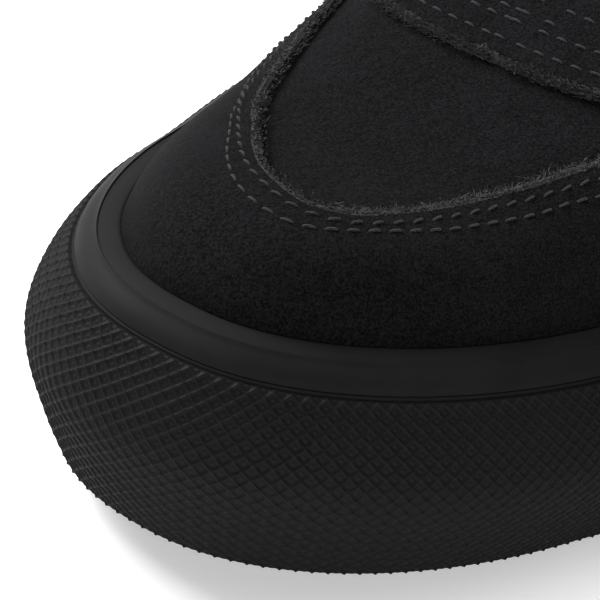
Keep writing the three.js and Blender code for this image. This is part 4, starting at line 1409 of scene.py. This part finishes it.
@dataclass
class Padding:
    """The padded collar and tongue, and the footbed."""

    last: Last
    finishes: Wardrobe
    thickness: float = 7.0
    depth: float = 24.0
    outer: float = 4.0
    tongue_thickness: float = 5.0
    tongue_front: float = 68.0
    tongue_length: float = 126.0
    tongue_front_width: float = 42.0
    tongue_back_width: float = 40.0
    tongue_round: float = 10.0
    pressure: float = 4.0
    collar_end: float = 0.385
    collar_stand: float = 2.0
    collar_fullness: float = 0.75
    thinning: float = 0.55
    thinning_from: float = 0.22
    thinning_run: float = 0.16
    tongue_tip: float = 9.0
    tongue_slack: float = 0.1
    rim_from: float = 0.82
    rim_rise: float = 0.9
    collar_swell: float = 1.1
    tongue_swell: float = 0.7
    insole_thickness: float = 4.2

    def collar(self) -> None:
        """Makes the padded roll inside the top line and lets it swell as cloth."""
        last = self.last
        end = self.collar_end * last.sole_length
        start = last.place_of(end, False) - last.path[-1]
        c = last.at(np.linspace(start, last.place_of(end, True), 260))
        thinner = (c.x - self.thinning_from * last.sole_length) / (self.thinning_run * last.sole_length)
        taper = 1 - self.thinning * smooth(thinner)
        thick = (self.thickness * taper)[:, None]
        top = (last.top_height(np.maximum(c.x, 2.0)) + self.collar_stand)[:, None]
        angle = np.linspace(0, 2 * math.pi, 40, endpoint=False)[None, :]
        up = np.sign(np.sin(angle)) * np.abs(np.sin(angle)) ** self.collar_fullness
        inward = (1 - np.sign(np.cos(angle)) * np.abs(np.cos(angle)) ** self.collar_fullness) / 2
        height = top - (self.depth / 2) * (1 - up)
        rows = []
        for k in range(angle.shape[1]):
            grow = -self.outer - thick[:, 0] * inward[0, k]
            rows.append(self.at_height(c, height[:, k], grow))
        obj = laid_grid("padded_collar", last.metres(np.stack(rows, axis=1)), False, True, 70, True)
        swell(obj, self.pressure, self.collar_swell * MM)
        self.finishes.dress(obj, Finish.LINING, "lining", ("collar",))

    def at_height(self, c: Columns, height: np.ndarray, grow: np.ndarray) -> np.ndarray:
        """Gives the skin at stated heights for columns that each have their own growth."""
        last = self.last
        low = np.zeros(len(c.x))
        high = np.full(len(c.x), math.pi / 2 - 0.15)
        for _ in range(24):
            middle = (low + high) / 2
            over = last.skin(c, middle[:, None], grow[:, None])[:, 0, 2] > height
            high = np.where(over, middle, high)
            low = np.where(over, low, middle)
        return last.skin(c, ((low + high) / 2)[:, None], grow[:, None])[:, 0]

    def tongue(self) -> None:
        """Makes the padded tongue."""
        last = self.last
        front = last.sole_length - self.tongue_front
        back = front - self.tongue_length
        x = mix(front - 0.2, back + 0.2, (1 - np.cos(np.linspace(0, math.pi, 200))) / 2)
        top = (1 - np.clip(1 - (x - back) / self.tongue_tip, 0, 1) ** 3) ** (1 / 3)
        half = top * rounded_half(x, front, self.tongue_front_width / 2, back, self.tongue_back_width / 2,
                                  self.tongue_round, last.throat_power)
        across = np.linspace(-1, 1, 61)
        plan = np.stack([np.broadcast_to(x[:, None], (len(x), len(across))),
                         last.spine(x)[:, None] + half[:, None] * across[None, :]], axis=-1)
        found = last.locate(plan.reshape(-1, 2), -self.outer - self.tongue_thickness / 2)
        c = last.at(found[:, 0])
        crown = np.broadcast_to((1 - np.abs(across) ** 4) ** 0.5, plan.shape[:2]).reshape(-1, 1)
        middle = self.outer + self.tongue_slack + self.tongue_thickness / 2
        upper = last.skin(c, found[:, 1][:, None], -middle + crown * self.tongue_thickness / 2)[:, 0]
        lower = last.skin(c, found[:, 1][:, None], -middle - crown * self.tongue_thickness / 2)[:, 0]
        upper = upper.reshape(plan.shape[:2] + (3,))
        lower = lower.reshape(plan.shape[:2] + (3,))
        points = np.concatenate([upper, lower[:, ::-1][:, 1:-1]], axis=1)
        obj = laid_grid("padded_tongue", last.metres(points), False, True, 70, True)
        swell(obj, self.pressure, self.tongue_swell * MM)
        self.finishes.dress(obj, Finish.TONGUE, "tongue_canvas", ("tongue",))

    def insole(self) -> None:
        """Makes the footbed, cupped a little at its edge."""
        last = self.last
        c = last.at(np.linspace(0, last.path[-1], 400, endpoint=False))
        grow = -self.outer
        edge = last.skin(c, self.angle_low(c, grow)[:, None], grow)[:, 0]
        rows = []
        for t in np.linspace(0, 1, 16):
            reach = 1 - t * t
            rise = self.rim_rise * smooth((reach - self.rim_from) / (1 - self.rim_from))
            x = mix(c.sx, edge[:, 0], reach)
            y = mix(c.sy, edge[:, 1], reach)
            z = last.sole_thickness + self.insole_thickness - self.rim_rise + rise + last.spring(x)
            rows.append(np.stack([x, y, z], axis=-1))
        for reach in (0.0, 1.0):
            x = mix(c.sx, edge[:, 0], reach)
            y = mix(c.sy, edge[:, 1], reach)
            rows.append(np.stack([x, y, last.sole_thickness + last.spring(x)], axis=-1))
        obj = laid_grid("footbed", last.metres(np.stack(rows, axis=1)), True, True, 50)
        self.finishes.dress(obj, Finish.LINING, "lining", ("insole",))

    def angle_low(self, c: Columns, grow: float) -> np.ndarray:
        """Gives the angle of the footbed's edge."""
        return self.last.angle_at_height(c, self.last.sole_thickness + 1.0 + c.spring, grow)

    def build(self) -> None:
        """Makes the soft parts."""
        self.collar()
        self.tongue()
        self.insole()


@dataclass
class Lacing:
    """The flat lace, laid in straight bars and run down through the eyelets."""

    last: Last
    finishes: Wardrobe
    upper: SuedeUpper
    width: float = 7.0
    thickness: float = 1.2
    tucked_width: float = 3.5
    dive: float = 4.6
    lift: float = 0.9
    steps: int = 61
    flatness: float = 0.35
    roundness: float = 0.8

    def build(self) -> None:
        """Makes one bar for each pair of eyelets."""
        last = self.last
        steps = self.steps
        places = self.upper.eyelets()
        for i in range(self.upper.pairs):
            outer, inner = places[2 * i], places[2 * i + 1]
            middle = (outer + inner) / 2
            half = (outer[1] - inner[1]) / 2
            t = np.linspace(-1, 1, steps)
            line = np.stack([np.full(steps, middle[0]), middle[1] + half * t], axis=-1)
            over = last.lay(line, np.full(steps, self.lift))
            over[:, 2] -= self.dive * smooth((np.abs(t) - 0.86) / 0.14)
            run = np.gradient(over, axis=0)
            run /= np.linalg.norm(run, axis=-1, keepdims=True)
            side = np.stack([np.ones(steps), np.zeros(steps), np.zeros(steps)], axis=-1)
            up = np.cross(side, run)
            up *= np.sign(up[:, 2:3])
            narrow = mix(self.width / 2, self.tucked_width / 2, smooth((np.abs(t) - 0.72) / 0.2))
            section = np.linspace(0, 2 * math.pi, 20, endpoint=False)
            rows = []
            for angle in section:
                a = math.copysign(abs(math.cos(angle)) ** self.flatness, math.cos(angle))
                b = math.copysign(abs(math.sin(angle)) ** self.roundness, math.sin(angle))
                rows.append(over + side * (narrow * a)[:, None] + up * (self.thickness / 2 * b))
            obj = laid_grid(f"lace_run_{i + 1}", last.metres(np.stack(rows, axis=1)), False, True, 60, True)
            self.finishes.dress(obj, Finish.LACE, "lace", (f"lace_bar_{i + 1}",))


@dataclass
class Needlework:
    """The stitch rows and the loose fibres along the cut edges."""

    last: Last
    finishes: Wardrobe
    upper: SuedeUpper
    pitch: float = 2.7
    length: float = 1.95
    thickness: float = 0.36
    sink: float = 0.34
    stand: float = 0.13
    below_top: float = 3.0
    eyestay_insets: tuple[float, float] = (2.8, 6.2)
    counter_insets: tuple[float, float] = (2.2, 5.0)
    short_rows: Rows = ((219.0, -8.0, -1.0), (216.2, -14.0, 6.0))
    sewn_from: float = 212.0
    sewn_half: float = 37.0
    frayed_from: float = 205.0
    frayed_half: float = 38.0
    rows_back: float = 0.45
    fibres: int = 7000
    fibre_rise: float = 0.45
    fibre_sink: tuple[float, float] = (-1.3, -0.1)
    cap_seed: int = 5
    eyestay_seed: int = 6
    fibre_length: tuple[float, float] = (0.25, 0.75)
    fibre_radius: tuple[float, float] = (0.05, 0.1)
    fray: float = 0.45
    corners: tuple[float, float, float] = (0.0, 2.094, 4.189)
    outer_row: Rows = ((228, -35.4), (238, -31.8), (246, -28.3), (252.1, -25.1), (257, -22.6),
                       (260.9, -19.9), (266.7, -15.9), (271.2, -11.7), (273.8, -7.6), (274.6, -4.3),
                       (274.7, -1.8), (273.7, .9), (271.5, 3.4), (268.9, 5.5), (265.5, 7.8), (261.9, 10),
                       (258.6, 11.8), (255, 13.4), (250.7, 15.3), (247, 16.9), (242.9, 18.3),
                       (238.7, 20.3), (230, 24.6), (220, 29.6), (210, 34.6))

    def stitch(self) -> bpy.types.Object:
        """Models one stitch: a short plump thread whose ends dive into the suede."""
        deselect()
        radius = self.thickness / 2 * MM
        bpy.ops.mesh.primitive_cylinder_add(vertices=8, radius=radius, depth=self.length * MM)
        obj = bpy.context.object
        bpy.ops.transform.rotate(value=math.pi / 2, orient_axis="Y", center_override=(0, 0, 0))
        bpy.ops.object.transform_apply(location=True, rotation=True, scale=True)
        shape = bmesh.new()
        shape.from_mesh(obj.data)
        rim = [e for e in shape.edges if abs(e.verts[0].co.x - e.verts[1].co.x) > 1e-4]
        bmesh.ops.subdivide_edges(shape, edges=rim, cuts=5)
        half = self.length / 2 * MM
        for vertex in shape.verts:
            t = abs(vertex.co.x) / half
            plump = math.sqrt(max(0.0, 1 - t ** 4)) * 0.75 + 0.25
            vertex.co.y *= plump
            vertex.co.z = vertex.co.z * plump - self.sink * MM * t ** 3
        shape.to_mesh(obj.data)
        shape.free()
        return obj

    def row(self, line: np.ndarray, grow: float, slant: float = 10.0) -> list[Matrix]:
        """Places stitches along a plan line.

        Args:
            line: The row's plan points.
            grow: The growth of the surface that the row lies on.
            slant: How far each stitch turns from the row, in degrees.

        Returns:
            One frame for each stitch.
        """
        even = arc_spread(self.last.lay(line, np.full(len(line), grow)), self.pitch)
        return self.frames(self.last.locate(even[:, :2], grow), even, grow, slant)

    def row_on(self, found: np.ndarray, grow: float, slant: float) -> list[Matrix]:
        """Places stitches along a run of places and angles on the form.

        Args:
            found: Place round the outline and angle of each point of the run.
            grow: The growth of the surface that the row lies on.
            slant: How far each stitch turns from the row, in degrees.

        Returns:
            One frame for each stitch.
        """
        last = self.last
        on_skin = last.skin(last.at(found[:, 0]), found[:, 1][:, None], grow)[:, 0]
        size = np.concatenate([[0.0], np.cumsum(np.linalg.norm(np.diff(on_skin, axis=0), axis=1))])
        wanted = np.arange(self.pitch / 2, size[-1], self.pitch)
        found = np.stack([np.interp(wanted, size, found[:, k]) for k in (0, 1)], axis=-1)
        even = np.stack([np.interp(wanted, size, on_skin[:, k]) for k in (0, 1, 2)], axis=-1)
        return self.frames(found, even, grow, slant)

    def frames(self, found: np.ndarray, even: np.ndarray, grow: float, slant: float) -> list[Matrix]:
        """Gives a frame for each stitch: along the row, across it and out of the suede.

        Args:
            found: Place and angle of each stitch.
            even: The stitches' points on the surface.
            grow: The growth of the surface.
            slant: How far each stitch turns from the row, in degrees.

        Returns:
            The frames.
        """
        last = self.last
        run = np.gradient(even, axis=0)
        a = last.skin(last.at(found[:, 0]), found[:, 1][:, None], grow)[:, 0]
        b = last.skin(last.at(found[:, 0]), found[:, 1][:, None] - 0.01, grow)[:, 0]
        beside = last.skin(last.at(found[:, 0] + 0.2), found[:, 1][:, None], grow)[:, 0]
        frames = []
        for k in range(len(even)):
            z = Vector(beside[k] - a[k]).cross(Vector(a[k] - b[k]))
            if z.z < 0:
                z = -z
            z.normalize()
            x = Vector(run[k])
            x = (x - z * x.dot(z)).normalized()
            y = z.cross(x)
            turn = Matrix.Rotation(math.radians(slant), 4, "Z")
            frame = Matrix((x, y, z)).transposed().to_4x4()
            lift = Vector(last.metres(a[k])) + z * self.stand * MM
            frames.append(Matrix.Translation(lift) @ frame @ turn)
        return frames

    def build(self) -> None:
        """Sews the rows of the cap, eyestay, counter and top line, and frays the two cut edges."""
        upper = self.upper
        line = upper.cap_line(2.0)
        frames = self.row(self.kept(line, self.sewn_from, self.sewn_half), 0.0, 14.0)
        frames += self.row(curve_through(np.array(self.outer_row), 300), 0.0, 4.0)
        for inset in self.eyestay_insets:
            frames += self.row(upper.eyestay_line(inset, self.rows_back), 0.0, -6.0)
        for x, low, high in self.short_rows:
            frames += self.row(np.stack([np.full(40, x), np.linspace(low, high, 40)], axis=-1), 0.0, -6.0)
        for inset in self.counter_insets:
            frames += self.counter_row(inset)
        for outer in (True, False):
            frames += self.top_row(outer)
        obj = copies("stitch_rows", self.stitch(), frames)
        self.finishes.dress(obj, Finish.THREAD, "suede")
        edge = self.kept(upper.cap_line(0.0, 900), self.frayed_from, self.frayed_half)
        self.fuzz("cap_edge_fibres", edge, self.cap_seed)
        self.fuzz("eyestay_edge_fibres", upper.eyestay_line(0.0, self.rows_back), self.eyestay_seed)

    def kept(self, line: np.ndarray, back: float, half: float) -> np.ndarray:
        """Gives the part of a plan line in front of a distance and within half a width of the middle."""
        return line[(line[:, 0] > back) & (np.abs(line[:, 1] - self.last.spine(line[:, 0])) < half)]

    def counter_row(self, inset: float) -> list[Matrix]:
        """Places stitches inside the heel counter's free edge, on both sides of the heel."""
        last = self.last
        upper = self.upper
        frames: list[Matrix] = []
        for outer in (True, False):
            start = last.place_of(0.44 * upper.counter_length, outer)
            places = np.linspace(start, last.place_of(upper.counter_length - inset, outer), 120)
            c = last.at(places)
            rows = np.array(upper.counter_edge)
            x = (rows[:, 0] * upper.counter_length)[::-1] - inset * 0.7
            z = (rows[:, 1] * last.heel_height)[::-1] - inset * 0.7
            limit = table(tuple(zip(x, z)), c.x, 1)
            angle = last.angle_at_height(c, limit, 0.0)
            keep = (limit < last.top_height(c.x) - self.below_top) & (limit > last.foxing_height + 1.0)
            frames += self.row_on(np.stack([places, angle], axis=-1)[keep], 0.0, 4.0)
        return frames

    def top_row(self, outer: bool) -> list[Matrix]:
        """Places stitches just under the collar's top line on one side."""
        last = self.last
        places = np.linspace(last.place_of(36.0, outer), last.place_of(0.37 * last.sole_length, outer), 160)
        c = last.at(places)
        shell = -self.upper.overlay - self.upper.gap
        angle = last.angle_at_height(c, last.top_height(c.x) - self.below_top, shell)
        return self.row_on(np.stack([places, angle], axis=-1), shell, 4.0)

    def fuzz(self, name: str, line: np.ndarray, seed: int) -> None:
        """Frays a cut edge with short curled fibres of the split leather.

        Args:
            name: The piece's name.
            line: The edge in plan.
            seed: The seed of the fibres' lie.
        """
        last = self.last
        count = self.fibres
        rng = np.random.default_rng(seed)
        along = rng.uniform(0, len(line) - 1, count)
        plan = np.stack([np.interp(along, np.arange(len(line)), line[:, k]) for k in (0, 1)], axis=-1)
        found = last.locate(plan, 0.0)
        c = last.at(found[:, 0])
        here = last.skin(c, found[:, 1][:, None], 0.0)[:, 0]
        run = np.gradient(last.lay(line, 0.0), axis=0)
        run = np.stack([np.interp(along, np.arange(len(line)), run[:, k]) for k in (0, 1, 2)], axis=-1)
        above = last.skin(c, found[:, 1][:, None], 1.0)[:, 0] - here
        run /= np.linalg.norm(run, axis=-1, keepdims=True)
        above /= np.linalg.norm(above, axis=-1, keepdims=True)
        across = np.cross(above, run)
        offset = np.clip(rng.normal(0.0, self.fray, (count, 1)), -1.1, 1.1)
        beyond = offset * self.free_side(across, here, name) > 0.15
        sunk = np.where(beyond, rng.uniform(*self.fibre_sink, (count, 1)), 0.0)
        root = here + across * offset + above * (sunk + 0.02)
        heading = rng.uniform(0, 2 * math.pi, (count, 1))
        rise = rng.uniform(0.0, self.fibre_rise, (count, 1))
        lie = run * np.cos(heading) + across * np.sin(heading) + above * rise
        length = rng.uniform(*self.fibre_length, (count, 1))
        turn = np.cross(above, lie) * rng.normal(0, 0.9, (count, 1))
        turn += above * rng.normal(-0.05, 0.2, (count, 1))
        stations = [root + lie * length * t + turn * length * t * t for t in (0.0, 0.5, 1.0)]
        width = rng.uniform(*self.fibre_radius, (count, 1))
        rings = []
        for station, share in zip(stations, (1.0, 0.92, 0.3)):
            for angle in self.corners:
                rings.append(station + (across * math.cos(angle) + above * math.sin(angle)) * width * share)
        points = np.stack(rings, axis=1).reshape(-1, 3)
        one = [(s + k, s + (k + 1) % 3, s + 3 + (k + 1) % 3, s + 3 + k) for s in (0, 3) for k in range(3)]
        one += [(2, 1, 0), (6, 7, 8)]
        faces = [tuple(i + 9 * n for i in face) for n in range(count) for face in one]
        mesh = bpy.data.meshes.new(name)
        mesh.from_pydata(last.metres(points).tolist(), [], faces)
        obj = bpy.data.objects.new(name, mesh)
        bpy.context.scene.collection.objects.link(obj)
        finish_mesh(obj, 80)
        self.finishes.dress(obj, Finish.FIBRE, "suede")

    def free_side(self, across: np.ndarray, here: np.ndarray, name: str) -> np.ndarray:
        """Tells on which side of the edge the lower layer lies: 1 where across points to it, else -1."""
        on_cap = name.startswith("cap")
        middle = np.array([self.last.sole_length - 62.0 if on_cap else 175.0, -4.0])
        inward = np.sum((middle - here[:, :2]) * across[:, :2], axis=-1, keepdims=True)
        return np.sign(inward) if on_cap else -np.sign(inward)


@dataclass
class Studio:
    """The camera, the pale floor and the soft light."""

    last: Last
    target: tuple[float, float, float] = (254.571, -9.898, 20.0)
    yaw: float = 31.819
    pitch: float = 31.288
    distance: float = 301.617
    roll: float = 9.235
    focal_px: float = 2359.43
    photo_px: float = 600.0
    sensor: float = 36.0

    def camera(self) -> None:
        """Sets the camera where the photograph was taken from."""
        yaw, pitch = math.radians(self.yaw), math.radians(self.pitch)
        back = Vector((math.cos(yaw) * math.cos(pitch), math.sin(yaw) * math.cos(pitch), math.sin(pitch)))
        target = Vector(self.last.metres(np.array(self.target)))
        place = target + back * self.distance * MM
        right = (-back).cross(Vector((0, 0, 1))).normalized()
        up = right.cross(-back)
        roll = math.radians(self.roll)
        turned_right = right * math.cos(roll) + up * math.sin(roll)
        turned_up = up * math.cos(roll) - right * math.sin(roll)
        data = bpy.data.cameras.new("photo_camera")
        data.sensor_width = self.sensor
        data.lens = self.focal_px / self.photo_px * self.sensor
        data.clip_start = 0.01
        data.clip_end = 20.0
        obj = bpy.data.objects.new("photo_camera", data)
        bpy.context.scene.collection.objects.link(obj)
        turn = Matrix((turned_right, turned_up, back)).transposed().to_4x4()
        obj.matrix_world = Matrix.Translation(place) @ turn
        bpy.context.scene.camera = obj

    def floor(self) -> None:
        """Lays a wide pale floor."""
        deselect()
        bpy.ops.mesh.primitive_plane_add(size=6.0, location=(0.0, 0.0, 0.0))
        floor = bpy.context.object
        floor.name = "studio_floor"
        material, tree, surface = new_material("white_paper")
        place = node(tree, "TexCoord").outputs["Object"]
        tooth = node(tree, "TexNoise", {"Vector": place, "Scale": 900.0, "Detail": 2.0})
        rough = node(tree, "Bump", {"Height": tooth.outputs["Fac"], "Strength": 0.05, "Distance": 0.1 * MM})
        surface.inputs["Base Color"].default_value = linear("e9e9e9")
        surface.inputs["Emission Color"].default_value = linear("ffffff")
        surface.inputs["Emission Strength"].default_value = 0.45
        surface.inputs["Roughness"].default_value = 0.85
        tree.links.new(rough.outputs[0], surface.inputs["Normal"])
        floor.data.materials.append(material)

    def lamp(self, name: str, place: tuple[float, float, float], aim: tuple[float, float, float],
             power: float, size: tuple[float, float]) -> None:
        """Hangs a soft box.

        Args:
            name: The lamp's name.
            place: Where it hangs, in metres.
            aim: What it points at.
            power: Its power in watts.
            size: Its width and height in metres.
        """
        data = bpy.data.lights.new(name, "AREA")
        data.shape = "RECTANGLE"
        data.size, data.size_y = size
        data.energy = power
        obj = bpy.data.objects.new(name, data)
        bpy.context.scene.collection.objects.link(obj)
        turn = (Vector(aim) - Vector(place)).to_track_quat("-Z", "Y").to_matrix().to_4x4()
        obj.matrix_world = Matrix.Translation(Vector(place)) @ turn

    def build(self) -> None:
        """Sets up the whole studio."""
        self.camera()
        self.floor()
        world = bpy.data.worlds.new("white_studio")
        bpy.context.scene.world = world
        world.use_nodes = True
        back = world.node_tree.nodes["Background"]
        back.inputs[0].default_value = linear("ffffff")
        back.inputs[1].default_value = 0.22
        self.lamp("key_soft_box", (0.1, -0.85, 0.7), (0.1, 0.0, 0.03), 22.0, (0.7, 0.5))
        self.lamp("top_soft_box", (0.0, 0.0, 1.0), (0.08, 0.0, 0.0), 6.0, (0.9, 0.9))
        self.lamp("front_fill", (0.8, 0.5, 0.12), (0.12, 0.0, 0.02), 2.6, (0.6, 0.25))
        bpy.context.scene.view_settings.view_transform = "Standard"


def main() -> None:
    """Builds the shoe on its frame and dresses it."""
    logging.basicConfig(level=logging.INFO, format="%(name)s: %(message)s")
    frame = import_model()
    last = Last()
    finishes = Wardrobe()
    RubberSole(last, finishes).build(frame["nodes"])
    upper = SuedeUpper(last, finishes)
    upper.build()
    Padding(last, finishes).build()
    Lacing(last, finishes, upper).build()
    Needlework(last, finishes, upper).build()
    Studio(last).build()
    bpy.context.view_layer.update()


if __name__ == "__main__":
    main()
